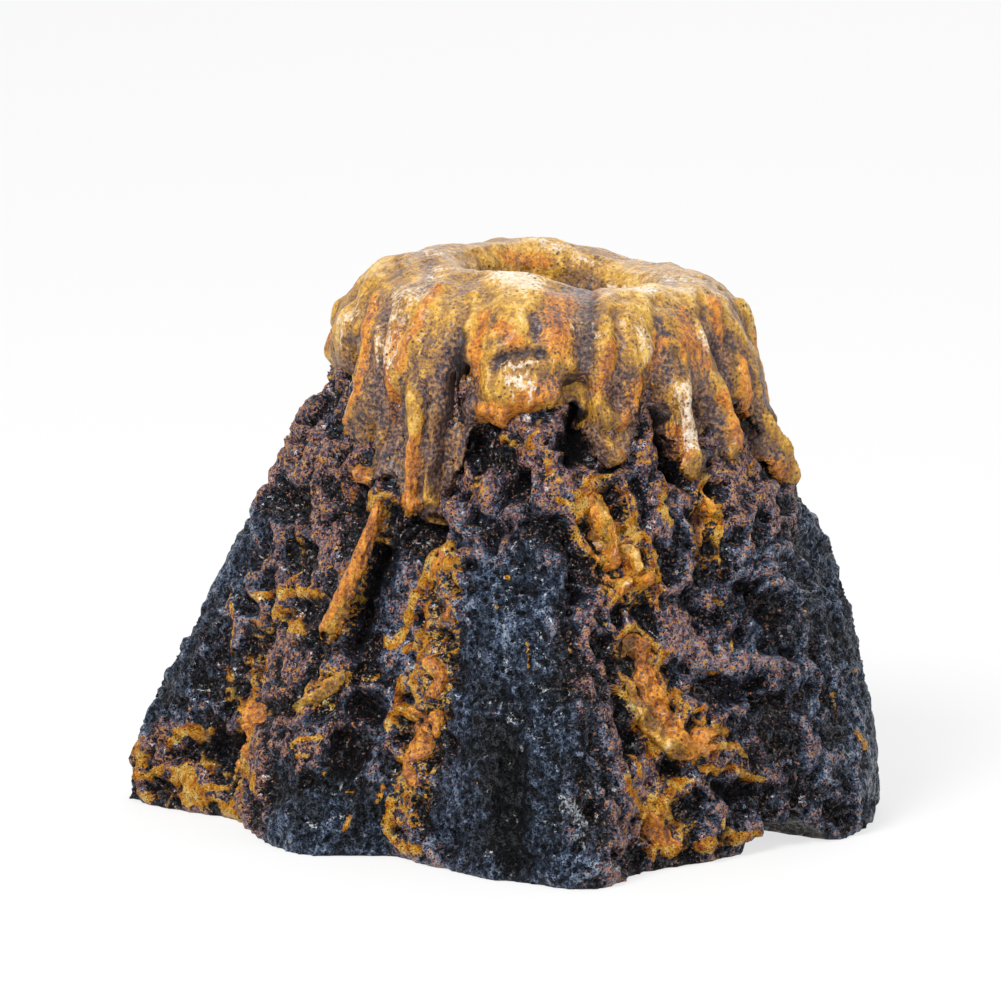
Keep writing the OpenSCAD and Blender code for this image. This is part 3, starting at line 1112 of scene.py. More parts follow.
        # Soot, and painted shade that thickens the wash in the hollows
        soot_and_hollow_shade = bench.weigh((self.soot_and_shade, self.wash_soot_and_shade), (self.relief, self.wash_shade_relief))
        thick = bench.plus(soot_and_hollow_shade, bench.swing(self.wrinkle, self.wash_wrinkle))
        wash = bench.times(self.ragged(thick, *self.wash_edge), self.wash_cover)
        colour = bench.blend(wash, colour, soot_and_shade)
        specks = bench.clouds(self.where, self.speck_mm, 2.0, 0.6)
        dark_specks = bench.plus(specks, bench.times(soot_and_hollow_shade, self.speck_wash))
        return bench.blend(bench.band(dark_specks, *self.speck_band), colour, soot_and_shade)


@dataclass(frozen=True)
class Moulding:
    """A moulded plastic, silicone or sintered stone.

    Args:
        name: Name of the material.
        colours: Darker and lighter colour.
        size_mm: Size of the grain.
        gloss: Lowest and highest roughness.
        depth_mm: Depth of the grain.
        clear: How much light passes through.
    """

    name: str
    colours: tuple[str, str]
    size_mm: float
    gloss: Band
    depth_mm: float
    clear: float = 0.0


class MouldedFinish(Finish):
    """A mottled colour with a fine grain."""

    mottle_sizes = 6
    colour_band: Band = (0.3, 0.6)
    gloss_band: Band = (0.3, 0.7)

    def __init__(self, look: Moulding, effects: Effects) -> None:
        """Builds the material.

        Args:
            look: What it looks like.
            effects: The shared effects.
        """
        super().__init__(look.name, effects)
        bench = self.bench
        height, _ = self.grain(look.size_mm)
        mottle = bench.clouds(self.where, look.size_mm * self.mottle_sizes)
        mixed = bench.weigh((mottle, 0.5), (height, 0.5))
        self.give("Base Color", bench.ramp(mixed, tuple(zip(self.colour_band, look.colours))))
        self.give("Roughness", bench.band(mottle, *self.gloss_band, *look.gloss))
        self.give("Transmission Weight", look.clear)
        self.bump((height, look.depth_mm))


# The mountain


@dataclass(frozen=True)
class Crags:
    """The casting's crags: webs of rock round deep hollows, with crumbs, pits and grit, in mm."""

    warp: float = 0.8
    warp_size: float = 2.4
    web_size: float = 4.6
    web_height: float = 1.7
    crumb_size: float = 1.9
    crumb_height: float = 0.85
    calm_crumbs: float = 0.35
    lump_size: float = 8.0
    lump_height: float = 0.55
    pit_size: float = 1.15
    pit_depth: float = 0.4
    pit_share: float = 0.75
    calm_pits: float = 0.6
    hole_size: float = 2.7
    hole_depth: float = 1.0
    hole_share: float = 0.35
    grit_size: float = 0.75
    grit_height: float = 0.14
    full_relief: float = 0.7

    def shape(self, points: Array, wild: Array) -> tuple[Array, Array, Array]:
        """The crags at points of the rock.

        Args:
            points: Points in mm.
            wild: How craggy it is at each, from 0 to 1.

        Returns:
            Height in mm, relief from -1 to 1, and crests of the webs from 0 to 1.
        """
        moved = points + self.warp * wander(points, self.warp_size)
        webs = ridged(moved, self.web_size, Seed.WEB)
        crumbs = ridged(moved, self.crumb_size, Seed.CRUMB)
        pits = pitted(moved, self.pit_size, self.pit_share, Seed.PIT) * self.pit_depth
        holes = pitted(moved, self.hole_size, self.hole_share, Seed.HOLE) * self.hole_depth
        grit = fractal(points, self.grit_size, 2, Seed.GRIT) * self.grit_height
        lumps = fractal(points, self.lump_size, 3, Seed.LUMP) * self.lump_height
        detail = (webs - 0.5) * self.web_height * wild
        detail += (crumbs - 0.5) * self.crumb_height * self.grow(self.calm_crumbs, wild)
        detail += grit - pits * self.grow(self.calm_pits, wild) - holes * wild
        return lumps + detail, np.clip(detail / self.full_relief, -1, 1), webs

    @staticmethod
    def grow(least: float, wild: Array) -> Array:
        """A share that grows from its least on calm rock to 1 on the wildest."""
        return least + (1 - least) * wild


class Seat:
    """The frame's rock as the seat of the lava, in mm."""

    # How near the rock a point counts as seated, and how squarely it then faces the rock
    touch = 0.55
    facing = -0.2

    # How gaps sink: the fall of the open side, how far below the rock it goes, and the drop of it all
    gap_fall = 3.0
    margin = 0.4
    drop = 3.0
    gap_band: Band = (0.25, 0.75)

    def __init__(self) -> None:
        """Reads the rock."""
        self.tree = frame_tree(["mountain_shell"])

    def under(self, points: Array) -> tuple[Array, Array, Array]:
        """The rock nearest to each point.

        Args:
            points: Points in mm.

        Returns:
            Points on the rock, the rock's normals there and the heights above it.
        """
        found = [self.tree.find_nearest(Vector(p) * MM) for p in points]
        feet = np.array([f[0] for f in found]) / MM
        out = np.array([f[1] for f in found])
        return feet, out, ((points - feet) * out).sum(1)

    def sink(self, skin: Skin, depth: float) -> None:
        """Sinks the side of a lava piece that lies on the rock into it, so that no gap shows.

        Args:
            skin: The piece's skin.
            depth: How far, in mm.
        """
        _, out, heights = self.under(skin.points)
        seated = (heights < self.touch) & ((skin.normals * out).sum(1) < self.facing)
        skin.push(np.where(seated, depth, 0))

    def lower(self, skin: Skin, fall: Array, gone: Array) -> None:
        """Lowers the open side of a lava piece towards the rock, and all of it into the rock in the gaps.

        Args:
            skin: The piece's skin.
            fall: How far each point falls, in mm.
            gone: Gaps in the lava, from 0 to 1.
        """
        _, out, heights = self.under(skin.points)
        open_side = (skin.normals * out).sum(1) > self.facing
        room = np.maximum(heights + self.margin, 0)
        way = np.clip(fall + self.gap_fall * gone, 0, room) * open_side
        way += self.drop * smooth_band(gone, *self.gap_band)
        skin.points -= out * way[:, None]
        skin.write()


@dataclass
class Rock:
    """The cast mountain: crags and pits over the frame's rock, hollow and bare inside."""

    crags: Crags = Crags()
    height: float = 44.0
    lean: float = 3.3
    bow: float = 0.8
    flank_curve: float = 1.5
    ridge_turn: float = 16.0
    turn_azimuth: float = 315.0
    turn_narrowness: int = 3
    voxel: float = 0.66
    passes: int = 2

    # Crags are flattened above the tip's height, paint stands up, and the rock stays low under the crown
    tip: float = 0.35
    tip_slope: float = 0.35
    paint_height: float = 0.35
    covered_height: float = 0.05
    covered_reach: float = 0.6

    # How far the edges of the strokes wander, in mm
    paint_wander: float = 0.3
    cave_wander: float = 0.5
    chip_wander: float = 0.2
    painted_shade_wander: float = 1.5

    # How squarely a face points outwards, or how high it is, where crags, paint and bare resin take hold
    outward: float = 0.12
    outer_band: Band = (0.02, 0.3)
    bare_band: Band = (0.0, 0.15)
    floor_band: Band = (-0.2, 1.6)

    # Orange threads on the crests, the depth of the caves, and the depths at which the deep caves are
    # painted black as shade
    crest_band: Band = (0.72, 0.95)
    thread_band: Band = (0.5, 0.95)
    thread_strength: float = 0.5
    cave_relief: float = 0.7
    cave_shade_band: Band = (1.0, 2.2)

    # How craggy the rock is where the speckle is weak or strong
    least_wild: float = 0.18
    wild_band: Band = (0.15, 0.75)

    # Uneven borders of the speckle: step and size of their broad and fine waves
    broad_wave: Band = (2.6, 6.5)
    fine_wave: Band = (1.2, 2.3)

    # Heights where the speckle thickens under the crown and where the foot ends, with their waves
    crown_zone: Band = (22, 34)
    crown_wave: Band = (4, 5.0)
    crown_speckle: float = 0.95
    foot_zone: Band = (5.0, 9.0)
    foot_wave: Band = (3, 4.0)

    # Azimuths where the left foot's speckle and the front buttress's bare stone start and end
    left_foot: tuple[Band, Band] = ((166, 176), (200, 214))
    buttress: tuple[Band, Band] = ((208, 218), (242, 250))
    buttress_loss: float = 0.6

    # Strength of the copper speckle round the mountain, by azimuth at the foot
    speckle_round = (
        (0, 0.24), (24, 0.34), (45, 0.75), (60, 0.7), (84, 0.2), (108, 0.25), (128, 0.8), (145, 0.6),
        (165, 0.22), (180, 0.3), (194, 0.85), (212, 0.95), (226, 0.6), (240, 0.45), (248, 0.8), (256, 0.5),
        (263, 0.24), (281, 0.24), (288, 0.7), (300, 0.95), (308, 0.75), (318, 0.62), (330, 0.5),
        (345, 0.38),
    )

    # Hollows, and a few ribs, in the rock
    caves = strokes(
        (1.6, -2.3, 378, 556, 376, 572, 370, 592), (1.4, -2.0, 362, 606, 366, 626, 360, 645),
        (1.4, -1.6, 350, 498, 360, 516), (0.95, -1.4, 265, 680), (1.2, -1.6, 215, 752, 229, 756),
        (1.2, -1.7, 350, 708, 372, 712), (1.3, -1.4, 343, 735, 348, 762),
        (1.2, -2.1, 722, 786, 738, 796, 752, 792), (1.2, -1.6, 666, 766, 680, 774),
        (0.9, -1.4, 574, 540, 576, 565, 580, 592), (1.8, -1.5, 500, 762, 503, 800, 505, 862),
        (0.8, -1.3, 612, 676, 616, 692), (1.0, -1.4, 640, 730, 655, 752),
        (1.3, -1.7, 746, 588, 762, 606, 784, 624), (1.1, -1.5, 752, 628, 770, 644, 792, 652),
        (0.9, 0.8, 768, 572, 792, 590, 814, 606), (1.0, 0.7, 742, 668, 775, 664, 815, 676),
        (0.9, -1.1, 735, 690, 760, 700, 790, 704), (0.9, 0.6, 750, 722, 785, 730, 812, 742),
        (0.8, -1.2, 690, 668, 712, 680, 730, 684), (0.9, -0.9, 812, 640, 822, 668, 826, 700),
        (0.8, -0.8, 758, 762, 790, 768, 815, 782), (1.0, -1.3, 704, 518, 705, 548),
        (0.9, -1.0, 690, 600, 698, 616), (0.6, -1.1, 412, 702), (0.9, -1.7, 432, 524, 440, 533),
        (1.0, -1.0, 462, 440, 456, 490), (1.1, -1.0, 510, 460, 515, 480), (0.9, -0.9, 545, 470),
        (1.3, -1.3, 285, 500, 292, 512), (1.25, -2.7, 583, 380, 583, 452),
        (1.2, -2.6, 663, 412, 668, 440, 676, 474), (1.2, -1.6, 735, 405, 748, 425, 760, 445),
        (1.5, -1.1, 346, 362, 345, 385, 338, 405), (1.1, -1.5, 378, 445, 379, 468),
        (0.8, -1.6, 446, 440, 440, 470, 434, 500), (1.0, -1.0, 310, 655, 296, 660),
        (0.9, -0.9, 640, 610, 648, 622),
    )

    # Orange webs on the rock
    orange_strokes = strokes(
        (0.5, 0.95, 259, 596, 290, 592, 324, 597), (0.4, 0.8, 296, 530, 301, 555, 298, 580),
        (0.8, 0.95, 280, 612, 293, 618, 303, 626), (0.35, 0.7, 232, 589, 237, 625, 232, 650),
        (0.6, 0.95, 230, 658, 229, 676, 227, 697),
        (0.8, 0.98, 238, 698, 247, 712, 245, 727, 246, 742, 243, 757, 250, 771, 256, 784),
        (0.6, 0.85, 236, 765, 231, 790, 236, 812), (0.6, 0.75, 252, 712, 268, 714),
        (0.35, 0.95, 293, 746, 305, 740, 322, 737), (0.35, 0.85, 297, 757, 308, 756),
        (0.8, 0.98, 138, 750, 143, 760), (0.55, 0.9, 168, 745, 180, 735, 194, 728),
        (0.75, 0.98, 196, 730, 202, 745, 203, 757, 212, 768, 226, 774),
        (0.6, 0.9, 208, 732, 220, 738, 228, 750), (0.75, 0.98, 146, 797, 160, 792, 172, 783, 184, 776),
        (0.8, 0.98, 166, 803, 182, 798, 198, 796), (0.8, 0.98, 202, 800, 220, 806, 238, 816),
        (0.5, 0.85, 138, 774, 150, 778, 162, 770), (0.45, 0.85, 186, 762, 192, 776),
        (0.5, 0.85, 214, 786, 226, 790), (0.45, 0.9, 450, 545, 440, 560, 431, 573, 424, 582),
        (0.45, 0.85, 455, 580, 458, 588), (0.6, 0.95, 419, 594, 412, 606, 409, 622),
        (0.45, 0.8, 450, 610, 444, 616), (0.65, 0.98, 406, 632, 394, 646, 386, 642),
        (0.5, 0.9, 408, 651, 416, 645), (0.45, 0.85, 452, 652), (0.8, 0.85, 425, 662, 432, 676, 428, 692),
        (0.6, 0.95, 404, 680, 400, 702, 400, 722), (0.95, 0.99, 408, 712, 412, 732, 407, 752, 402, 762),
        (0.5, 0.9, 428, 716, 431, 734), (0.45, 0.85, 392, 716, 388, 728), (0.45, 0.9, 402, 765, 409, 782),
        (0.7, 0.98, 392, 802, 389, 820, 393, 836), (0.6, 0.95, 404, 846, 420, 850),
        (0.4, 0.7, 384, 785, 378, 800), (0.7, 0.98, 598, 498, 606, 520, 611, 542, 614, 562),
        (0.5, 0.95, 612, 578, 617, 590, 623, 602), (0.4, 0.85, 604, 585, 612, 596),
        (0.55, 0.9, 662, 503, 667, 520), (0.5, 0.9, 654, 553, 661, 575, 648, 580),
        (0.4, 0.8, 590, 552, 596, 560), (0.9, 0.98, 628, 634, 645, 645, 657, 658, 652, 680),
        (0.9, 0.99, 652, 680, 660, 700, 673, 718, 675, 735, 690, 752, 703, 757),
        (0.6, 0.98, 700, 737, 715, 728, 728, 735), (0.4, 0.85, 703, 747, 732, 745, 747, 757),
        (0.4, 0.98, 700, 768, 720, 772, 735, 768, 750, 778, 762, 781),
        (0.4, 0.75, 618, 735, 630, 751, 638, 776), (0.5, 0.95, 621, 778, 632, 800, 641, 811, 659, 821),
        (0.8, 0.99, 660, 826, 664, 842, 669, 856),
        (0.7, 0.99, 669, 856, 690, 850, 712, 843, 735, 838, 754, 834), (0.6, 0.98, 723, 824, 735, 841),
        (0.5, 0.8, 674, 835, 680, 846), (0.4, 0.95, 702, 474, 710, 500, 718, 516, 717, 540, 720, 562),
        (0.4, 0.85, 724, 575), (0.35, 0.8, 726, 603, 716, 600), (0.4, 0.8, 690, 688, 702, 684, 712, 690),
        (0.3, 0.75, 710, 673, 722, 672), (0.35, 0.8, 692, 712, 702, 708), (0.4, 0.8, 735, 640, 730, 649),
        (0.3, 0.8, 733, 622), (0.35, 0.85, 800, 612), (0.3, 0.7, 775, 573), (0.4, 0.8, 852, 671),
        (0.3, 0.75, 834, 694, 842, 712), (0.5, 0.95, 854, 733, 862, 746), (0.4, 0.85, 508, 577),
        (0.35, 0.8, 497, 607), (0.25, 0.75, 525, 628, 529, 650, 532, 667), (0.25, 0.8, 476, 783),
        (0.4, 0.8, 572, 650), (0.4, 0.8, 590, 648), (0.4, 0.7, 325, 772), (0.4, 0.7, 347, 790, 352, 793),
        (0.4, 0.75, 350, 816, 346, 830), (0.35, 0.75, 364, 681, 378, 675), (0.4, 0.7, 478, 470, 470, 500),
        (0.4, 0.8, 545, 455, 548, 475), (0.4, 0.75, 560, 500, 572, 505), (0.5, 0.65, 500, 440, 530, 445),
        (0.5, 0.95, 372, 494, 375, 510, 370, 532),
    ) + strokes(
        (0.8, 0.9, 49, 22, 54, 16, 57, 9), (0.8, 0.9, 130, 20, 126, 14, 122, 7),
        (0.6, 0.8, 92, 22, 96, 16), (0.7, 0.85, 66, 6, 60, 3), (0.7, 0.85, 148, 10, 140, 5),
        (0.6, 0.8, 28, 18, 33, 12, 30, 5),
        place=Place.ROUND,
    )

    # Pools of gold
    gold_strokes = strokes(
        (0.75, 0.98, 343, 674, 325, 690, 310, 700, 294, 710), (0.4, 0.8, 320, 697, 329, 708),
        (0.5, 0.85, 600, 500, 606, 520, 610, 540), (0.6, 0.8, 630, 548, 640, 566),
        (0.5, 0.8, 628, 578, 620, 584), (0.5, 0.85, 632, 642, 630, 655),
        (0.85, 0.95, 630, 682, 633, 700, 650, 722, 666, 746, 681, 758),
        (0.9, 0.9, 330, 628, 342, 612, 352, 600), (0.5, 0.8, 424, 664, 428, 672),
    ) + strokes(
        (0.6, 0.85, 132, 24, 129, 18), (0.6, 0.85, 52, 26, 54, 20),
        place=Place.ROUND,
    )

    # Pale chips where the paint is knocked off
    chips = strokes(
        (0.35, 0.95, 478, 654), (0.3, 0.95, 519, 747), (0.3, 0.75, 535, 727), (0.18, 0.9, 527, 783),
        (0.2, 0.85, 436, 790), (0.35, 0.9, 565, 801, 575, 811, 585, 817),
        (1.0, 0.68, 563, 802, 576, 812, 587, 822), (0.7, 0.66, 577, 838, 582, 845),
        (0.7, 0.5, 592, 795, 606, 782), (0.6, 0.6, 608, 862, 616, 868), (0.25, 0.85, 560, 824),
        (0.3, 0.9, 575, 838, 583, 834), (0.3, 0.85, 612, 865), (0.25, 0.85, 642, 845),
        (0.25, 0.8, 615, 790), (0.2, 0.85, 823, 643), (0.25, 0.75, 813, 590), (0.5, 0.8, 786, 846),
        (0.25, 0.6, 713, 596, 714, 620),
    )

    # Painted shade: parts of the rock that are painted blacker than the rest
    painted_shade = strokes(
        (3.2, 1.0, 285, 745, 300, 790, 310, 830), (2.2, 0.8, 345, 740, 355, 790, 360, 830),
        (2.0, 1.0, 488, 700, 498, 780, 505, 860), (2.4, 0.7, 560, 640, 590, 700),
        (2.6, 0.6, 770, 700, 790, 780), (2.4, 0.5, 225, 580, 190, 660, 165, 720),
        (2.0, 0.7, 395, 545, 430, 560), (2.0, 0.5, 790, 610, 815, 650),
    )

    @staticmethod
    def axis_x(heights: Array) -> Array:
        """Where the leaning mountain's axis is at each height, in mm."""
        up = np.clip(heights / Rock.height, 0, 1)
        return Rock.lean * up**Rock.flank_curve + Rock.bow * np.sin(np.pi * up)

    def azimuths(self, points: Array) -> Array:
        """Azimuth of each point at the foot of the ridge that it lies on, in degrees.

        Args:
            points: Points in mm.

        Returns:
            Azimuths from 0 to 360.
        """
        around = np.degrees(np.arctan2(points[:, 1], points[:, 0] - self.axis_x(points[:, 2])))
        sway = ((1 + np.cos(np.radians(around - self.turn_azimuth))) / 2) ** self.turn_narrowness
        return (around + self.ridge_turn * np.clip(points[:, 2] / self.height, 0, 1) * sway) % 360

    def build(self, ground: Ground, bare: Ground, runs: "Runs") -> Piece:
        """Sculpts the rock.

        Args:
            ground: The surface that the strokes are laid on.
            bare: The rock without its lava, for the caves.
            runs: The lava runs, whose paint spreads on to the rock.

        Returns:
            The rock.
        """
        rock = bench_copy("mountain_shell", "mountain_rock")
        remesh(rock, self.voxel, self.passes)
        refine(rock, self.outer_faces(rock))
        skin = Skin(rock)
        speckle = self.speckle(skin.points)
        height, relief, crests = self.crags.shape(skin.points, self.wildness(speckle))
        webs = skin.drawn(ground, self.orange_strokes, self.paint_wander)
        pools = skin.drawn(ground, self.gold_strokes, self.paint_wander)
        caves = skin.drawn(bare, self.caves, self.cave_wander)
        threads = smooth_band(crests, *self.crest_band) * smooth_band(speckle, *self.thread_band)
        orange = np.maximum(webs, runs.spread(skin.points)) + self.thread_strength * threads
        facing = self.faces_out(skin.points, skin.normals)
        painted = smooth_band(facing, *self.outer_band)
        weight = painted * smooth_band(skin.points[:, 2], *self.floor_band)
        marks = {
            "relief": np.clip(relief + self.cave_relief * caves, -1, 1),
            "speckle": speckle * painted,
            "orange": np.clip(orange, 0, 1) * painted,
            "gold": pools * painted,
            "chip": skin.drawn(ground, self.chips, self.chip_wander) * painted,
            "bare": 1 - smooth_band(facing, *self.bare_band),
            # Painted shade: the deep caves and the marked dark parts of the rock
            "cave_shade": smooth_band(-caves, *self.cave_shade_band) * weight,
            "painted_shade": skin.drawn(ground, self.painted_shade, self.painted_shade_wander) * weight,
        }
        out = height + self.paint_height * np.maximum(webs, pools)
        out = np.where(out > self.tip, self.tip + self.tip_slope * (out - self.tip), out) + caves
        out = np.where(self.covered(skin.points), np.minimum(out, self.covered_height), out)
        skin.push(out * weight)
        skin.points[:, 2] = np.maximum(skin.points[:, 2], 0)
        skin.write()
        skin.mark(marks)
        return rock

    def wildness(self, speckle: Array) -> Array:
        """How craggy the rock is, from the strength of its speckle."""
        return self.least_wild + (1 - self.least_wild) * smooth_band(speckle, *self.wild_band)

    def outer_faces(self, rock: Piece) -> Array:
        """Which faces lie on the outside of the mountain.

        Args:
            rock: The rock.

        Returns:
            True for each such face.
        """
        count = len(rock.data.polygons)
        normals, middles = np.empty(count * 3), np.empty(count * 3)
        rock.data.polygons.foreach_get("normal", normals)
        rock.data.polygons.foreach_get("center", middles)
        return self.faces_out(middles.reshape(-1, 3) / MM, normals.reshape(-1, 3)) > self.outward

    def faces_out(self, points: Array, normals: Array) -> Array:
        """How squarely each normal points away from the mountain's axis.

        Args:
            points: Points in mm.
            normals: Their normals.

        Returns:
            Shares of each normal, from -1 to 1.
        """
        out = points[:, :2] - np.stack([self.axis_x(points[:, 2]), np.zeros(len(points))], 1)
        out /= np.maximum(np.linalg.norm(out, axis=1), MERGE_GAP)[:, None]
        return (normals[:, :2] * out).sum(1)

    def covered(self, points: Array) -> Array:
        """Which points lie under the crown.

        Args:
            points: Points in mm.

        Returns:
            True for each such point.
        """
        crown = frame_tree(["lava_crown"])
        near = self.covered_reach * MM
        return np.array([crown.find_nearest(Vector(p) * MM, near)[0] is not None for p in points])

    def speckle(self, points: Array) -> Array:
        """Strength of the speckle: by azimuth, more under the crown, with uneven borders.

        Args:
            points: Points in mm.

        Returns:
            Strengths from 0 to 1.
        """
        moved = points.copy()
        for step, size in (self.broad_wave, self.fine_wave):
            moved += step * wander(points, size)
        around = self.azimuths(moved)
        strength = np.interp(around, *np.array(self.speckle_round).T, period=360)
        under_crown = self.above(points, self.crown_wave, Seed.UNDER_CROWN, self.crown_zone)
        foot = 1 - self.above(points, self.foot_wave, Seed.FOOT, self.foot_zone)
        bared = self.buttress_loss * foot * self.sector(around, *self.buttress)
        strength = np.maximum(strength, self.crown_speckle * under_crown) * (1 - bared)
        return np.clip(np.maximum(strength, foot * self.sector(around, *self.left_foot)), 0, 1)

    @staticmethod
    def above(points: Array, wave: Band, seed: Seed, zone: Band) -> Array:
        """A rise from 0 to 1 over a zone of heights, whose borders have waves of a swing and size."""
        swing, size = wave
        return smooth_band(points[:, 2] + swing * fractal(points, size, 2, seed), *zone)

    @staticmethod
    def sector(around: Array, start: Band, end: Band) -> Array:
        """1 between two azimuths, each with a soft border."""
        return smooth_band(around, *start) * (1 - smooth_band(around, *end))


@dataclass
class Crown:
    """The lava crown: folds and drips over the frame's crown."""

    voxel: float = 0.26
    passes: int = 4
    depth: float = 0.5

    # Patterns of the pour, in mm: streaks drawn out down the slope and calmer where it is level
    stretch: Point = (1.0, 1.0, 0.35)
    level_calm: float = 0.8
    streak_size: float = 1.9
    streak_height: float = 0.42
    wrinkle_size: float = 0.8
    wrinkle_height: float = 0.12
    lump_size: float = 4.5
    lump_height: float = 0.4
    pin_size: float = 1.5
    pin_share: float = 0.35
    pin_depth: float = 0.25

    # How far the edges of the strokes wander, in mm
    fold_wander: float = 0.35
    ridge_wander: float = 0.3
    orange_wander: float = 0.4
    paint_wander: float = 0.5

    # Paint: how strong it is without a stroke, and how strokes and heights change it
    orange_base: float = 0.24
    orange_gain: float = 0.92
    cream_and_highlight_base: float = 0.15
    soot_base: float = 0.34
    low_soot: float = 0.44
    low_zone: Band = (36, 48)
    low_swing: float = 4
    full_fold: float = 1.2
    fold_fade: float = 1.5
    full_relief: float = 0.6
    streak_relief: float = 1.6
    lump_relief: float = 0.5

    # Where the lava wears thin, low down and near its edge, and how far ridges withstand that
    thin_zone: Band = (35, 43)
    thin_swing: float = 2
    thin_size: float = 2.2
    thin_fall: float = 0.85
    thin_raggedness: float = 1.5
    worn: float = 1.7
    edge_reach: float = 3.6
    edge_step: int = 3
    ridge_hold: float = 0.8
    full_ridge: float = 0.6

    # Where the rim is higher or lower: x, y, radius and rise in mm
    rim_zone: Band = (37, 44)
    rises = ((-7.0, -1.5, 4.2, 1.0), (0.5, -9.5, 4.0, 0.9), (5.5, -9.5, 3.4, 0.6), (11.0, -8.0, 3.6, -0.3),
             (11.5, 7.5, 4.0, -1.5))

    # Raised flow lines
    ridges = strokes(
        (1.6, 0.7, 384, 262, 372, 290, 362, 325), (1.3, 0.8, 346, 316, 338, 334),
        (0.5, 0.5, 366, 340, 362, 365, 357, 392, 351, 415, 340, 433),
        (1.3, 0.6, 330, 455, 345, 460, 352, 472),
        (0.9, 0.7, 440, 290, 425, 312, 412, 340, 402, 365, 396, 390),
        (0.6, 0.7, 474, 298, 470, 330, 466, 360, 462, 380), (2.8, 0.6, 515, 290, 515, 325, 515, 390),
        (2.8, 0.6, 645, 300, 652, 345), (2.4, 0.4, 400, 285, 388, 325),
        (1.0, 0.7, 482, 412, 505, 414, 525, 404, 548, 398), (0.8, 0.4, 497, 345, 515, 338, 535, 340),
        (0.8, 0.8, 416, 395, 415, 440, 411, 480, 408, 510, 408, 530),
        (0.6, 0.6, 431, 410, 432, 450, 428, 480, 425, 500), (1.1, 0.4, 600, 290, 604, 340, 607, 380),
        (1.2, 0.6, 605, 410, 612, 440, 622, 455), (1.1, 0.9, 684, 390, 686, 420, 690, 450, 693, 472),
        (0.7, 0.7, 722, 398, 734, 418, 736, 440, 730, 450), (0.6, 0.6, 741, 362, 745, 385, 751, 412),
        (0.6, 0.5, 756, 378, 764, 398, 768, 414),
        (0.7, 0.8, 768, 418, 780, 440, 790, 460, 800, 485, 807, 500),
        (1.2, 0.7, 760, 455, 772, 465, 780, 475), (0.7, 0.4, 690, 300, 702, 330, 708, 360),
        (0.6, 0.4, 715, 300, 722, 330), (0.8, 0.35, 640, 300, 642, 350),
    ) + strokes(
        (0.8, 0.6, 8, 47, 6, 42, 7, 37), (1.0, 0.6, 34, 48, 36, 43, 35, 38),
        (0.8, 0.7, 58, 48, 55, 43, 57, 38), (1.1, 0.6, 82, 48, 84, 42, 83, 37),
        (0.8, 0.7, 106, 48, 104, 43, 106, 38), (1.0, 0.6, 128, 48, 131, 43, 129, 37),
        (0.8, 0.6, 152, 48, 150, 43, 152, 38), (1.0, 0.5, 176, 47, 178, 43), (0.9, 0.5, 200, 47, 198, 43),
        place=Place.ROUND,
    )

    # Creases between the flows
    folds = strokes(
        (0.7, 0.6, 373, 292, 363, 315, 357, 335), (0.7, 0.5, 472, 303, 462, 340),
        (0.9, 0.85, 463, 335, 457, 365), (1.05, 1.1, 457, 358, 452, 385, 446, 430, 438, 470),
        (0.7, 0.8, 463, 382, 460, 420, 455, 460, 447, 500),
        (0.65, 0.85, 498, 362, 512, 355, 528, 351, 540, 354), (0.8, 0.4, 534, 318, 537, 336),
        (0.5, 0.6, 722, 300, 728, 325, 731, 345), (0.6, 1.0, 717, 346, 720, 365),
        (0.95, 1.4, 575, 384, 581, 410, 582, 452), (1.15, 1.6, 659, 412, 661, 432, 667, 455, 675, 475),
        (0.8, 1.2, 720, 350, 723, 372, 731, 395, 745, 415, 755, 432),
        (0.5, 0.4, 392, 300, 384, 340, 378, 380, 372, 420), (0.5, 0.5, 404, 372, 396, 410, 392, 440),
        (0.4, 0.7, 424, 388, 422, 440, 418, 492), (0.7, 0.4, 618, 300, 618, 360, 619, 400),
        (0.8, 0.5, 656, 300, 658, 350, 655, 390), (0.6, 0.4, 704, 300, 708, 340),
        (1.4, 0.7, 590, 284, 588, 320, 588, 352),
    ) + strokes(
        (0.7, 0.9, 20, 47, 22, 42, 21, 37), (0.7, 1.0, 46, 46, 45, 41), (0.6, 0.9, 70, 47, 69, 40),
        (0.7, 1.0, 95, 46, 94, 40), (0.7, 0.9, 117, 46, 118, 40), (0.6, 0.9, 140, 46, 141, 41),
        (0.7, 0.9, 164, 46, 165, 41), (0.6, 0.7, 188, 46, 187, 42),
        place=Place.ROUND,
    )

    # Where the rock shows between the drips
    gaps = strokes(
        (1.5, 0.42, 388, 398, 380, 430, 372, 470), (1.2, 0.4, 362, 430, 356, 450),
        (1.6, 0.3, 600, 395, 640, 400, 655, 395), (1.4, 0.4, 610, 430, 630, 440),
        (1.2, 0.4, 700, 400, 712, 430), (1.1, 1.0, 346, 360, 346, 385, 340, 405, 325, 425),
        (1.0, 1.0, 377, 445, 378, 468), (1.1, 1.0, 582, 390, 584, 410, 584, 430, 583, 452),
        (1.1, 1.0, 661, 418, 665, 440, 672, 472), (0.9, 1.0, 745, 420, 755, 435, 762, 448),
        (0.65, 0.95, 459, 372, 453, 400, 447, 440), (0.7, 0.95, 446, 440, 440, 470, 434, 500),
        (1.2, 0.42, 350, 452, 362, 470), (0.9, 0.45, 384, 400, 390, 440),
        (0.5, 0.8, 457, 430, 452, 470, 447, 500), (1.0, 1.0, 486, 426, 520, 418, 552, 411),
        (0.7, 0.9, 640, 440, 645, 462), (0.6, 0.9, 710, 455, 715, 475),
        (0.6, 0.9, 392, 460, 393, 490, 392, 520), (0.7, 0.9, 430, 512, 434, 530),
        (0.6, 0.8, 362, 484, 366, 492),
    ) + strokes(
        (2.2, 1.0, 172, 39.5, 186, 40.0, 199, 40.3),
        place=Place.ROUND,
    )

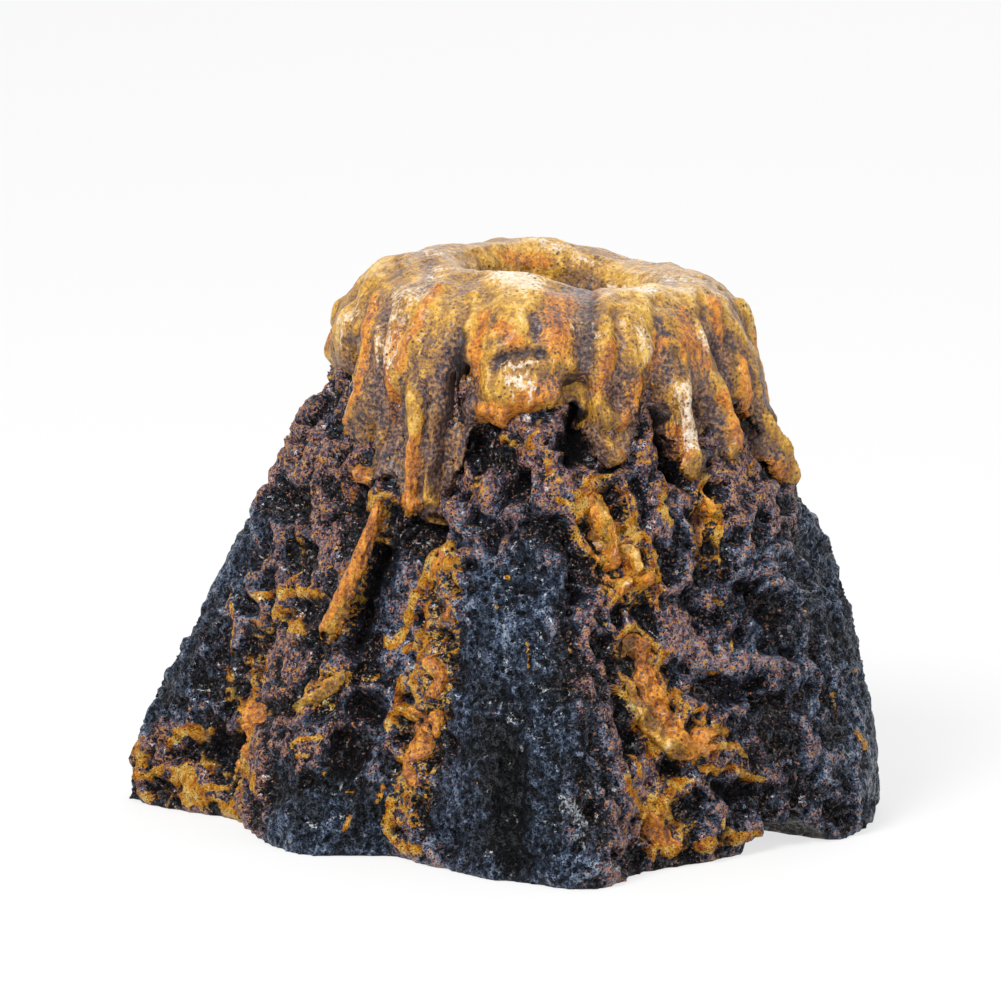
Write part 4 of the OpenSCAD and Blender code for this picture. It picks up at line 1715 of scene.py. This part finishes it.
    # Orange on the flows
    orange_strokes = strokes(
        (0.7, 0.75, 440, 290, 425, 312, 402, 365), (0.7, 0.9, 366, 340, 357, 392, 340, 433),
        (1.0, 0.9, 330, 455, 352, 472), (1.0, 0.9, 480, 410, 505, 412, 525, 402),
        (0.8, 0.85, 500, 330, 515, 345), (1.4, 0.85, 560, 300, 556, 340), (0.9, 0.85, 528, 398, 552, 384),
        (0.8, 0.75, 376, 300, 366, 330), (0.7, 0.75, 398, 330, 388, 372, 382, 410),
        (0.8, 0.8, 612, 350, 606, 385), (0.8, 0.8, 660, 340, 652, 372), (0.9, 0.8, 682, 312, 690, 332),
        (0.6, 0.85, 724, 345, 726, 362), (0.7, 0.75, 484, 320, 476, 350, 474, 385),
        (1.0, 0.8, 590, 290, 580, 300), (0.9, 0.85, 640, 385, 630, 430),
        (0.5, 0.95, 622, 445, 632, 470, 625, 495), (0.8, 0.95, 722, 398, 734, 418, 736, 440),
        (0.7, 0.9, 741, 362, 751, 412), (1.2, 0.98, 760, 455, 772, 465, 780, 475),
        (0.8, 0.9, 800, 480, 807, 500), (0.7, 0.95, 415, 440, 408, 510, 408, 530),
        (1.4, 0.85, 700, 360, 690, 345), (0.9, 0.8, 720, 330, 715, 300), (0.6, 0.9, 678, 430, 684, 465),
        (1.0, 0.5, 505, 258, 545, 262),
    ) + strokes(
        (0.9, 0.85, 58, 46, 56, 40), (0.9, 0.85, 106, 46, 105, 40), (0.8, 0.9, 8, 44, 7, 39),
        (0.9, 0.85, 152, 45, 150, 40), (0.9, 0.8, 188, 47, 178, 44),
        place=Place.ROUND,
    )

    # Cream on the lips, partly painted highlights
    cream_and_highlight_strokes = strokes(
        (1.4, 0.62, 650, 275, 700, 282, 728, 300), (1.3, 0.6, 455, 262, 480, 275),
        (1.7, 0.98, 499, 284, 527, 292), (1.5, 0.98, 612, 285, 645, 292), (1.3, 0.75, 669, 285, 690, 290),
        (0.9, 0.9, 684, 390, 690, 440), (1.3, 0.75, 410, 255, 440, 262),
        (2.0, 0.52, 402, 296, 390, 335, 384, 365), (1.4, 0.6, 435, 275, 418, 300),
        (0.4, 0.98, 500, 364, 533, 362), (1.4, 0.66, 578, 320, 590, 340), (1.4, 0.55, 640, 330, 648, 350),
        (1.0, 0.6, 700, 335, 704, 352), (1.2, 0.7, 540, 243, 590, 255), (0.9, 0.6, 510, 378, 530, 385),
    ) + strokes(
        (1.3, 0.75, 34, 49, 36, 45), (1.3, 0.75, 128, 49, 130, 45), (1.2, 0.7, 82, 49, 83, 46),
        (1.2, 0.65, 200, 48, 198, 45),
        place=Place.ROUND,
    )

    # Parts that the soot and the painted shade leave clean
    clean = strokes(
        (2.4, 0.45, 640, 285, 690, 292, 725, 305), (2.0, 0.26, 450, 262, 490, 268, 540, 272),
        (2.0, 0.28, 520, 245, 580, 248, 640, 268), (1.6, 0.45, 499, 286, 527, 292),
        (1.6, 0.45, 612, 285, 645, 292), (1.4, 0.45, 540, 244, 590, 254),
        (1.5, 0.6, 690, 288, 712, 300, 726, 318), (0.7, 0.3, 475, 305, 478, 340, 476, 375),
        (0.8, 0.3, 440, 292, 425, 315, 405, 365), (0.6, 0.4, 366, 340, 357, 392, 340, 433),
        (0.7, 0.4, 722, 398, 734, 418, 736, 440), (0.6, 0.4, 741, 362, 751, 412),
        (0.8, 0.35, 768, 418, 790, 460, 807, 500), (0.5, 0.35, 415, 430, 412, 470, 408, 525),
    ) + strokes(
        (0.7, 0.3, 58, 47, 57, 40), (0.7, 0.3, 106, 47, 105, 40), (0.7, 0.3, 8, 46, 7, 39),
        place=Place.ROUND,
    )

    # Soot, and painted shade in the creases and the gaps between the drips
    soot_and_shade_strokes = strokes(
        (2.4, 0.66, 386, 300, 376, 360, 368, 400), (1.7, 0.78, 428, 385, 426, 425, 424, 465),
        (0.8, 0.7, 486, 408, 520, 402, 545, 396), (2.4, 0.6, 500, 312, 505, 385),
        (2.2, 0.6, 546, 300, 550, 385), (1.6, 0.56, 425, 330, 415, 385),
        (1.5, 0.6, 398, 276, 408, 300, 402, 330), (1.2, 0.6, 430, 268, 424, 290),
        (1.0, 0.62, 412, 350, 404, 392), (1.4, 0.95, 362, 440, 372, 480), (0.8, 0.95, 392, 420, 396, 500),
        (0.9, 0.95, 440, 430, 434, 505), (1.0, 0.7, 384, 365, 374, 400), (1.0, 0.6, 495, 330, 505, 345),
        (1.0, 0.65, 545, 380, 556, 396), (1.2, 0.6, 520, 385, 505, 392), (1.2, 0.7, 612, 420, 630, 440),
        (0.7, 0.55, 730, 420, 736, 446), (1.4, 0.75, 380, 400, 375, 430), (1.2, 0.8, 440, 370, 448, 400),
        (0.9, 0.98, 533, 316, 537, 338), (0.8, 0.8, 540, 352), (0.9, 0.9, 664, 355, 668, 382),
        (0.8, 0.8, 658, 318, 666, 335), (0.9, 0.85, 603, 365, 610, 375),
        (1.8, 0.75, 600, 385, 640, 375, 690, 372), (0.9, 0.7, 605, 430, 615, 455),
        (1.2, 0.85, 380, 440, 370, 470), (1.2, 0.85, 645, 420, 640, 450), (0.9, 0.85, 700, 395, 706, 430),
        (0.8, 0.65, 560, 385, 550, 395), (1.0, 0.7, 420, 288, 428, 296), (0.7, 0.85, 366, 316, 360, 336),
        (0.8, 0.7, 485, 395, 492, 400), (0.8, 0.6, 336, 340, 352, 345),
    ) + strokes(
        (1.2, 0.8, 20, 44, 21, 38), (1.2, 0.8, 95, 44, 94, 39), (1.2, 0.8, 140, 44, 141, 40),
        (1.1, 0.75, 165, 45, 168, 41),
        place=Place.ROUND,
    )

    def build(self, ground: Ground, seat: Seat) -> Piece:
        """Sculpts the crown.

        Args:
            ground: The surface that the strokes are laid on.
            seat: The rock under it.

        Returns:
            The crown.
        """
        crown = bench_copy("lava_crown", "lava_crown_pour")
        remesh(crown, self.voxel, self.passes)
        skin = Skin(crown)
        seat.sink(skin, self.depth)
        folds = skin.drawn(ground, self.folds, self.fold_wander)
        ridges = skin.drawn(ground, self.ridges, self.ridge_wander)
        gaps = skin.drawn(ground, self.gaps, self.fold_wander)
        lumps = fractal(skin.points, self.lump_size, 2, Seed.POUR) * self.lump_height
        pins = pitted(skin.points, self.pin_size, self.pin_share, Seed.PIN) * self.pin_depth
        streaks = self.streaks(skin)
        raised = ridges - folds
        relief = (raised + self.streak_relief * streaks + self.lump_relief * lumps) / self.full_relief
        marks = self.paint_marks(skin, ground, lumps)
        # Painted shade in the creases, darker where the folds are deeper
        marks["hollow_shade"] = np.clip(folds / self.full_fold, 0, 1) ** self.fold_fade
        marks["relief"] = np.clip(relief, -1, 1)
        thin = self.thinness(skin.points, lumps)
        skin.push(raised + streaks + lumps - pins)
        worn = np.maximum(thin, self.worn * self.near_edge(skin.points))
        hold = self.ridge_hold * np.clip(ridges / self.full_ridge, 0, 1)
        seat.lower(skin, worn * (1 - hold), gaps)
        self.raise_rim(skin)
        skin.mark(marks)
        return crown

    def streaks(self, skin: Skin) -> Array:
        """Streaks and wrinkles of the pour.

        Args:
            skin: The crown's skin.

        Returns:
            Heights in mm.
        """
        drawn_out = skin.points * np.array(self.stretch)
        steep = 1 - self.level_calm * np.clip(skin.normals[:, 2], 0, 1)
        streaks = fractal(drawn_out, self.streak_size, 3, Seed.STREAK) * self.streak_height
        wrinkles = fractal(drawn_out, self.wrinkle_size, 2, Seed.WRINKLE) * self.wrinkle_height
        return (streaks + wrinkles) * steep

    def paint_marks(self, skin: Skin, ground: Ground, lumps: Array) -> dict[str, Array]:
        """Strength of each paint.

        Args:
            skin: The crown's skin.
            ground: The surface that the strokes are laid on.
            lumps: Lumps of the pour, in mm.

        Returns:
            One strength per point, by the paint's name.
        """
        orange = skin.drawn(ground, self.orange_strokes, self.orange_wander)
        cream_and_highlight = skin.drawn(ground, self.cream_and_highlight_strokes, self.paint_wander)
        soot_and_shade = skin.drawn(ground, self.soot_and_shade_strokes, self.paint_wander)
        clean = skin.drawn(ground, self.clean, self.paint_wander)
        low = 1 - smooth_band(skin.points[:, 2] + self.low_swing * lumps, *self.low_zone)
        return {
            "orange": orange * self.orange_gain + self.orange_base,
            "cream_and_highlight": cream_and_highlight + self.cream_and_highlight_base,
            "soot_and_shade": np.maximum(soot_and_shade, self.soot_base + self.low_soot * low) - clean,
        }

    def thinness(self, points: Array, lumps: Array) -> Array:
        """How far the lava has run thin low down.

        Args:
            points: Points in mm.
            lumps: Lumps of the pour, in mm.

        Returns:
            Falls in mm.
        """
        low = 1 - smooth_band(points[:, 2] + self.thin_swing * lumps, *self.thin_zone)
        ragged = fractal(points * np.array(self.stretch), self.thin_size, 3, Seed.THIN)
        return low * (self.thin_fall + self.thin_raggedness * ragged)

    def near_edge(self, points: Array) -> Array:
        """How near each point is to the crown's lower edge, from 0 to 1.

        Args:
            points: Points in mm.

        Returns:
            1 at the edge, and 0 a little way above it.
        """
        around = np.degrees(np.arctan2(points[:, 1], points[:, 0] - Rock.axis_x(points[:, 2]))) % 360
        sector = (around // self.edge_step).astype(int)
        lowest = np.full(360 // self.edge_step, np.inf)
        np.minimum.at(lowest, sector, points[:, 2])
        return 1 - smooth_band(points[:, 2] - lowest[sector], 0, self.edge_reach)

    def raise_rim(self, skin: Skin) -> None:
        """Makes the rim uneven, as poured.

        Args:
            skin: The crown's skin.
        """
        top = smooth_band(skin.points[:, 2], *self.rim_zone)
        for x, y, radius, rise in self.rises:
            gap = (skin.points[:, 0] - x) ** 2 + (skin.points[:, 1] - y) ** 2
            skin.points[:, 2] += rise * top * np.exp(-gap / radius**2)
        skin.write()


@dataclass
class Runs:
    """The lava in the gullies: ragged flows that sit in the rock."""

    voxel: float = 0.2
    passes: int = 2
    depth: float = 0.4
    flow_passes: int = 10
    nodes = (
        "left_lava_tube", "left_streak_lava", "left_gully_lava", "centre_gully_lava", "front_upper_lava",
        "front_lower_lava", "foot_lava", "right_thin_lava", "rear_left_lava", "rear_middle_lava",
        "rear_right_lava",
    )

    # Paint: the runs that are more orange than the rest, and how gold and kept lava change each colour
    hot_nodes = ("left_gully_lava", "centre_gully_lava", "foot_lava", "right_thin_lava", "rear_middle_lava",
                 "rear_right_lava", "left_lava_tube")
    hot_orange: float = 0.8
    plain_orange: float = 0.7
    gold_loss: float = 0.5
    cream_and_highlight_base: float = 0.1
    gold_pale: float = 0.45
    soot_base: float = 0.42
    kept_loss: float = 0.3
    relief_share: float = 0.45
    paint_wander: float = 0.35

    # How far the paint spreads on to the rock, in mm, and how strongly
    spread_reach: float = 2.5
    spread_zone: Band = (0.3, 1.5)
    spread_strength: float = 0.45

    # How far a flow follows the crags, where it is kept, and how far it sinks elsewhere, in mm
    crag_share: float = 0.85
    kept_band: Band = (0.06, 0.42)
    bare_fall: float = 1.7
    least_fall: float = 0.5
    most_fall: float = 2.2
    break_height: float = 0.6
    break_size: float = 1.6

    # The tube: its line in the photograph, its girth along that line and the hole at its end
    tube = "left_lava_tube"
    tube_line = Stroke(((376, 497), (366, 535), (349, 580), (333, 625), (328, 640)), 1.0)
    tube_stripe = (Stroke(((372, 500), (364, 530), (348, 565), (334, 600), (324, 630)), 1.3, 1.0),)
    tube_girth = ((0.0, 0.42), (0.35, 0.55), (0.6, 0.68), (0.85, 1.05), (1.0, 1.25))
    tube_reach: float = 0.9
    reach_zone: Band = (0.6, 1.0)
    tube_mouth: Pixel = (323, 636)
    mouth_r: float = 0.55
    mouth_floor: float = 0.6
    mouth_depth: float = 1.5
    # The tube's side away from its orange stripe is darker: soot, and painted shade
    tube_soot_and_shade: float = 0.5
    line_skip: int = 4
    line_end: int = 8
    streak_stretch: Point = (1.0, 1.0, 0.4)
    streak_size: float = 1.0
    streak_height: float = 0.22
    full_streak: float = 0.8

    def spread(self, points: Array) -> Array:
        """How much of the runs' paint has spread to each point of the rock.

        Args:
            points: Points in mm.

        Returns:
            Strengths from 0 to 1.
        """
        tree = frame_tree(self.nodes)
        found = [tree.find_nearest(Vector(p) * MM, self.spread_reach * MM)[3] for p in points]
        gaps = np.array([self.spread_reach if gap is None else gap / MM for gap in found])
        return self.spread_strength * (1 - smooth_band(gaps, *self.spread_zone))

    def build(self, node: str, ground: Ground, seat: Seat, rock: Rock) -> Piece:
        """Sculpts one run.

        Args:
            node: The frame's node.
            ground: The surface that strokes are laid on.
            seat: The rock under it.
            rock: The rock, whose crags it follows.

        Returns:
            The run.
        """
        run = bench_copy(node, node.replace("_lava", "") + "_flow")
        remesh(run, self.voxel, self.passes)
        skin = Skin(run)
        seat.sink(skin, self.depth)
        gold = skin.drawn(ground, rock.gold_strokes, self.paint_wander)
        orange = self.hot_orange if node in self.hot_nodes else self.plain_orange
        marks = {"orange": np.clip(orange - self.gold_loss * gold, 0, 1),
                 "cream_and_highlight": self.cream_and_highlight_base + self.gold_pale * gold}
        if node == self.tube:
            marks |= self.shape_tube(skin, ground)
        else:
            marks |= self.shape_flow(skin, ground, seat, rock)
        skin.mark(marks)
        return run

    def shape_flow(self, skin: Skin, ground: Ground, seat: Seat, rock: Rock) -> dict[str, Array]:
        """Lays a flow over the crags, and breaks it up where no paint is drawn.

        Args:
            skin: The flow's skin.
            ground: The surface that strokes are laid on.
            seat: The rock under it.
            rock: The rock, whose crags it follows.

        Returns:
            Marks for its finish.
        """
        feet, out, _ = seat.under(skin.points)
        height, relief, _ = rock.crags.shape(feet, rock.wildness(rock.speckle(feet)))
        drawn = skin.drawn(ground, rock.orange_strokes + rock.gold_strokes, self.paint_wander)
        kept = smooth_band(drawn, *self.kept_band)
        skin.points += out * (self.crag_share * height)[:, None]
        skin.write()
        work(skin.piece, "SMOOTH", factor=SMOOTHING, iterations=self.flow_passes)
        skin.read()
        broken = self.break_height * fractal(feet, self.break_size, 3, Seed.BREAK)
        fall = self.bare_fall * (1 - kept) + self.least_fall + broken
        skin.points -= out * np.clip(fall, 0, self.most_fall)[:, None]
        skin.write()
        return {"hollow_shade": np.zeros(len(feet)), "relief": self.relief_share * relief,
                "soot_and_shade": self.soot_base - self.kept_loss * kept}

    def shape_tube(self, skin: Skin, ground: Ground) -> dict[str, Array]:
        """Makes the tube streaked, thin above and wide at its mouth, and opens the mouth.

        Args:
            skin: The tube's skin.
            ground: The surface that its line is laid on.

        Returns:
            Marks for its finish.
        """
        stripe = skin.drawn(ground, self.tube_stripe)
        drawn_out = skin.points * np.array(self.streak_stretch)
        streaks = fractal(drawn_out, self.streak_size, 2, Seed.STREAK) * self.streak_height
        self.swell(skin, ground.trace(self.tube_line))
        hole = self.open_mouth(skin, ground.camera)
        skin.push(streaks * (1 - hole))
        # Painted shade: the mouth is painted dark
        return {"hollow_shade": hole, "relief": np.clip(streaks / self.full_streak, -1, 1),
                "soot_and_shade": self.tube_soot_and_shade - self.tube_soot_and_shade * stripe}

    def swell(self, skin: Skin, line: Array) -> None:
        """Changes the tube's girth along its line, and draws its end out.

        Args:
            skin: The tube's skin.
            line: Points of the line in mm.
        """
        steps = line[::self.line_skip]
        nearest = np.argmin(((skin.points[:, None, :] - steps[None, :, :]) ** 2).sum(2), 1)
        along = nearest / max(1, len(steps) - 1)
        girth = np.interp(along, *np.array(self.tube_girth).T)
        axis = steps[nearest]
        last = line[-1] - line[-self.line_end]
        reach = self.tube_reach * smooth_band(along, *self.reach_zone)
        ahead = last / np.linalg.norm(last)
        skin.points = axis + (skin.points - axis) * girth[:, None] + reach[:, None] * ahead
        skin.write()

    def open_mouth(self, skin: Skin, camera: PhotoCamera) -> Array:
        """Sinks a round hole into the tube's end, along the camera's view.

        Args:
            skin: The tube's skin.
            camera: The photograph's camera.

        Returns:
            Depth of the mouth at each point, from 0 to 1.
        """
        ray = np.array(camera.ray(self.tube_mouth))
        towards = skin.points - np.array(camera.eye) / MM
        depth = towards @ ray
        off = np.linalg.norm(towards - depth[:, None] * ray, axis=1)
        facing = (skin.normals @ ray) < 0
        mouth = smooth_band(-off, -self.mouth_r, -self.mouth_floor * self.mouth_r) * facing
        skin.points += mouth[:, None] * ray * self.mouth_depth
        skin.write()
        return mouth


# The bubbler


@dataclass
class Bubbler:
    """The base plate, the air line and the air stone under the mountain, in mm."""

    plate_look = Moulding("plate_plastic", ("#cfccc2", "#e6e3da"), 0.5, (0.35, 0.5), 0.02)
    fitting_look = Moulding("fitting_plastic", ("#b7bbba", "#d3d6d4"), 0.4, (0.25, 0.4), 0.015)
    hose_look = Moulding("clear_silicone", ("#cfd6d2", "#e4e8e5"), 0.6, (0.2, 0.35), 0.015, 0.35)
    stem_look = Moulding("stem_plastic", ("#7d95a3", "#9db4c1"), 0.4, (0.3, 0.45), 0.015)
    stone_look = Moulding("sintered_stone", ("#3f4d59", "#8fa0ad"), 0.4, (0.75, 0.95), 0.2)

    axis_x: float = 5.0
    line_z: float = 6.5
    air_r: float = 1.1
    spigot_r: float = 2.0
    rounding: float = 0.25
    flange_t: float = 1.4

    # The inlet: where its collar starts and its neck ends, and the barbs after the neck
    collar_y: float = 15.35
    neck_y: float = 18.05
    collar_r: float = 3.2
    neck_r: float = 2.6
    barbs: int = 3
    barb_r: float = 2.45
    barb_start: float = 1.6
    barb_pitch: float = 1.7
    barb_face: float = 0.15
    barb_length: float = 1.5

    # The hoses: how far they stretch on a spigot, and how far in from each end they grip it
    hose_r: float = 3.05
    hose_bore: float = 2.05
    hose_stretch: float = 0.12
    hose_waist: float = 0.08
    grip_start: float = 1.2
    grip_end: float = 3.6

    # The stem's flange and the stone's granules, which leave the bore smooth
    flange_z: float = 20.55
    granule: float = 0.75
    granule_height: float = 0.2
    granule_level: float = 0.6
    granule_zone: Band = (2.6, 3.4)
    plate_voxel: float = 0.3
    plate_passes: int = 3
    stone_voxel: float = 0.32
    stone_passes: int = 2

    def span(self, node: str, axis: int) -> tuple[float, float]:
        """Where a node starts and ends along an axis, in mm."""
        low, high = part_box(node)
        return low[axis] / MM, high[axis] / MM

    def build(self, effects: Effects) -> None:
        """Makes, dresses and places each piece.

        Args:
            effects: The shared effects.
        """
        looks = (self.plate_look, self.fitting_look, self.hose_look, self.stem_look, self.stone_look)
        plate, fitting, hose, stem, stone = (MouldedFinish(look, effects) for look in looks)
        made = (
            (self.base_plate(), plate, Body.BUBBLER, Slot.PLATE, "base_plate"),
            (self.elbow(), fitting, Body.BUBBLER, Slot.FITTING, "elbow_fitting"),
            (self.nipple(), fitting, Body.BUBBLER, Slot.FITTING, "inlet_nipple"),
            (self.hose("link_hose", True), hose, Body.BUBBLER, Slot.HOSE, "link_hose"),
            (self.hose("riser_hose", False), hose, Body.BUBBLER, Slot.HOSE, "riser_hose"),
            (self.stem(), stem, Body.STONE, Slot.STEM, "stone_stem"),
            (self.stone(), stone, Body.STONE, Slot.STONE, "air_stone"),
        )
        for row in made:
            place_piece(*row)

    def base_plate(self) -> Piece:
        """The plate, its edges rounded as moulded.

        Returns:
            The piece.
        """
        piece = bench_copy("base_plate", "moulded_plate")
        remesh(piece, self.plate_voxel, self.plate_passes)
        ease(piece)
        return piece

    def elbow(self) -> Piece:
        """The elbow, smooth all round.

        Returns:
            The piece.
        """
        piece = bench_copy("elbow_fitting", "air_elbow")
        ease(piece)
        return piece

    def plug(self, flange_r: float, flange: float) -> list[Ring]:
        """Rings of a spigot with a rounded tip, and of a rounded flange at its other end.

        Args:
            flange_r: Radius of the flange.
            flange: Where the flange starts.

        Returns:
            The rings, from the tip to the far side of the flange.
        """
        soft, end = self.rounding, flange + self.flange_t
        return [(self.spigot_r - soft, 0.0), (self.spigot_r, soft), (self.spigot_r, flange),
                (flange_r - soft, flange), (flange_r, flange + soft), (flange_r, end - soft),
                (flange_r - soft, end)]

    def tip(self, length: float) -> list[Ring]:
        """Rings of a spigot's rounded end and of the air way back to its start.

        Args:
            length: Where the end is.

        Returns:
            The rings.
        """
        soft = self.rounding
        outside = [(self.spigot_r, length - soft), (self.spigot_r - soft, length)]
        return outside + [(self.air_r, length), (self.air_r, 0.0)]

    def nipple(self) -> Piece:
        """The inlet: a plain spigot inside, collar and neck, and a barbed spigot outside.

        Returns:
            The piece.
        """
        start, end = self.span("inlet_nipple", 1)
        collar, neck_end = self.collar_y - start, self.neck_y - start
        rings = self.plug(self.collar_r, collar)
        rings += [(self.neck_r, collar + self.flange_t), (self.neck_r, neck_end), (self.spigot_r, neck_end)]
        for barb in range(self.barbs):
            at = neck_end + self.barb_start + barb * self.barb_pitch
            rings += [(self.spigot_r, at), (self.barb_r, at + self.barb_face)]
            rings.append((self.spigot_r, at + self.barb_length))
        rings += self.tip(end - start)
        return turned("barbed_inlet", rings, (self.axis_x, start, self.line_z), True)

    def hose(self, node: str, level: bool) -> Piece:
        """A short hose, a little stretched where it grips a spigot.

        Args:
            node: The frame's node.
            level: True if it lies along +Y, False if it stands.

        Returns:
            The hose.
        """
        start, end = self.span(node, 1 if level else 2)
        length, soft, lip = end - start, self.rounding, 0.5 * self.rounding
        bore, full_r = self.hose_bore, self.hose_r + self.hose_stretch
        outside = [(self.hose_r - soft, 0.0), (self.hose_r, soft), (full_r, self.grip_start),
                   (full_r, self.grip_end)]
        waist = (self.hose_r - self.hose_waist, 0.5 * length)
        back = [(radius, length - at) for radius, at in reversed(outside)]
        inside = [(bore + lip, length), (bore, length - lip), (bore, lip), (bore + lip, 0.0)]
        rings = [*outside, waist, *back, *inside]
        foot = (self.axis_x, start, self.line_z) if level else (self.axis_x, 0.0, start)
        return turned("soft_" + node, rings, foot, level)

    def stem(self) -> Piece:
        """The stem, with a rounded flange between the hose and the stone.

        Returns:
            The piece.
        """
        start, end = self.span("stone_stem", 2)
        flange = self.flange_z - start
        rings = self.plug(self.span("stone_stem", 0)[1] - self.axis_x, flange)
        rings += [(self.spigot_r, flange + self.flange_t), *self.tip(end - start)]
        return turned("flanged_stem", rings, (self.axis_x, 0.0, start), False)

    def stone(self) -> Piece:
        """The air stone: sintered granules.

        Returns:
            The stone.
        """
        piece = bench_copy("air_stone", "sintered_air_stone")
        remesh(piece, self.stone_voxel, self.stone_passes)
        skin = Skin(piece)
        out = np.hypot(skin.points[:, 0] - self.axis_x, skin.points[:, 1])
        bumps = pitted(skin.points, self.granule, 1.0, Seed.GRANULE) - self.granule_level
        skin.push(smooth_band(out, *self.granule_zone) * self.granule_height * bumps)
        return piece


# The studio


@dataclass(frozen=True)
class Lamp:
    """A soft square lamp that faces the ornament.

    Args:
        name: Its name.
        place: Where it is, in metres.
        side: Its width in metres.
        power: Its power in watts.
    """

    name: str
    place: Point
    side: float
    power: float

    def build(self, aim: Vector) -> None:
        """Adds the lamp.

        Args:
            aim: What it faces.
        """
        data = bpy.data.lights.new(self.name, "AREA")
        data.size = self.side
        data.energy = self.power
        lamp = bpy.data.objects.new(self.name, data)
        bpy.context.scene.collection.objects.link(lamp)
        lamp.location = self.place
        lamp.rotation_euler = (aim - Vector(self.place)).to_track_quat("-Z", "Y").to_euler()


@dataclass
class Studio:
    """Pale floor, white surroundings and soft lamps."""

    floor_side: float = 6.0
    paper_shade: float = 0.86
    paper_rough: float = 0.9
    glow: float = 0.7
    ambient: float = 0.3
    white = (1.0, 1.0, 1.0, 1.0)
    aim: Point = (0.0, 0.0, 0.025)
    lamps = (
        Lamp("key_lamp", (-0.32, -0.5, 0.62), 0.3, 6.6),
        Lamp("fill_lamp", (0.55, -0.45, 0.35), 0.6, 1.3),
        Lamp("top_lamp", (0.05, 0.1, 0.8), 0.6, 1.4),
        Lamp("back_lamp", (0.1, 0.7, 0.5), 0.6, 1.5),
    )

    def build(self) -> None:
        """Makes the floor, the lamps and the world."""
        bpy.ops.object.select_all(action="DESELECT")
        bpy.ops.mesh.primitive_plane_add(size=self.floor_side, location=(0, 0, 0))
        floor = bpy.context.active_object
        floor.name = "studio_floor"
        floor.data.materials.append(self.floor_finish())
        for lamp in self.lamps:
            lamp.build(Vector(self.aim))
        self.surround()

    def seen(self, bench: NodeBench) -> Socket:
        """1 for rays that the camera, a reflection or clear plastic sends out.

        Args:
            bench: The tree that asks.

        Returns:
            1 or 0.
        """
        path = bench.add("LightPath")
        some = bench.math("MAXIMUM", path.outputs["Is Camera Ray"], path.outputs["Is Glossy Ray"])
        return bench.math("MAXIMUM", some, path.outputs["Is Transmission Ray"])

    def floor_finish(self) -> bpy.types.Material:
        """White paper that keeps a soft shadow.

        Returns:
            The material.
        """
        material = bpy.data.materials.new("floor_paper")
        material.use_nodes = True
        bench, nodes = NodeBench(material.node_tree), material.node_tree.nodes
        paper = nodes["Principled BSDF"]
        shade = (self.paper_shade, self.paper_shade, self.paper_shade, 1.0)
        bench.feed(paper, {"Base Color": shade, "Roughness": self.paper_rough})
        glow = bench.add("Emission", {"Color": self.white, "Strength": 1.0})
        share = bench.times(self.seen(bench), self.glow)
        both = bench.add("MixShader", {0: share, 1: paper.outputs[0], 2: glow.outputs[0]})
        bench.feed(nodes["Material Output"], {"Surface": both.outputs[0]})
        return material

    def surround(self) -> None:
        """White where it is seen, and a plain soft light elsewhere."""
        world = bpy.data.worlds.new("studio_surround")
        bpy.context.scene.world = world
        world.use_nodes = True
        bench = NodeBench(world.node_tree)
        low, high = bench.values_in
        levels = {bench.factor: self.seen(bench), low: self.ambient, high: 1.0}
        level = bench.add("Mix", levels, data_type="FLOAT").outputs[0]
        bench.feed(world.node_tree.nodes["Background"], {"Color": self.white, "Strength": level})


def main() -> None:
    """Builds the ornament round the frame."""
    logging.basicConfig(level=logging.INFO, format="%(name)s: %(message)s")
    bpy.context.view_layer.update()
    noise.seed_set(WANDER_SEED)
    bpy.context.scene.view_settings.view_transform = "Standard"
    camera = PhotoCamera()
    camera.build()
    runs = Runs()
    ground = Ground(camera, ["mountain_shell", "lava_crown", *runs.nodes])
    effects = Effects()
    rock_finish, lava_finish = RockFinish(effects), LavaFinish(effects)

    seat, mountain = Seat(), Rock()
    rock = mountain.build(ground, Ground(camera, ["mountain_shell"]), runs)
    place_piece(rock, rock_finish, Body.MOUNTAIN, Slot.ROCK, "mountain_shell")
    crown = Crown().build(ground, seat)
    place_piece(crown, lava_finish, Body.MOUNTAIN, Slot.LAVA, "lava_crown")
    for node in runs.nodes:
        run = runs.build(node, ground, seat, mountain)
        place_piece(run, lava_finish, Body.MOUNTAIN, Slot.LAVA, node)
    Bubbler().build(effects)
    Studio().build()


if __name__ == "__main__":
    main()
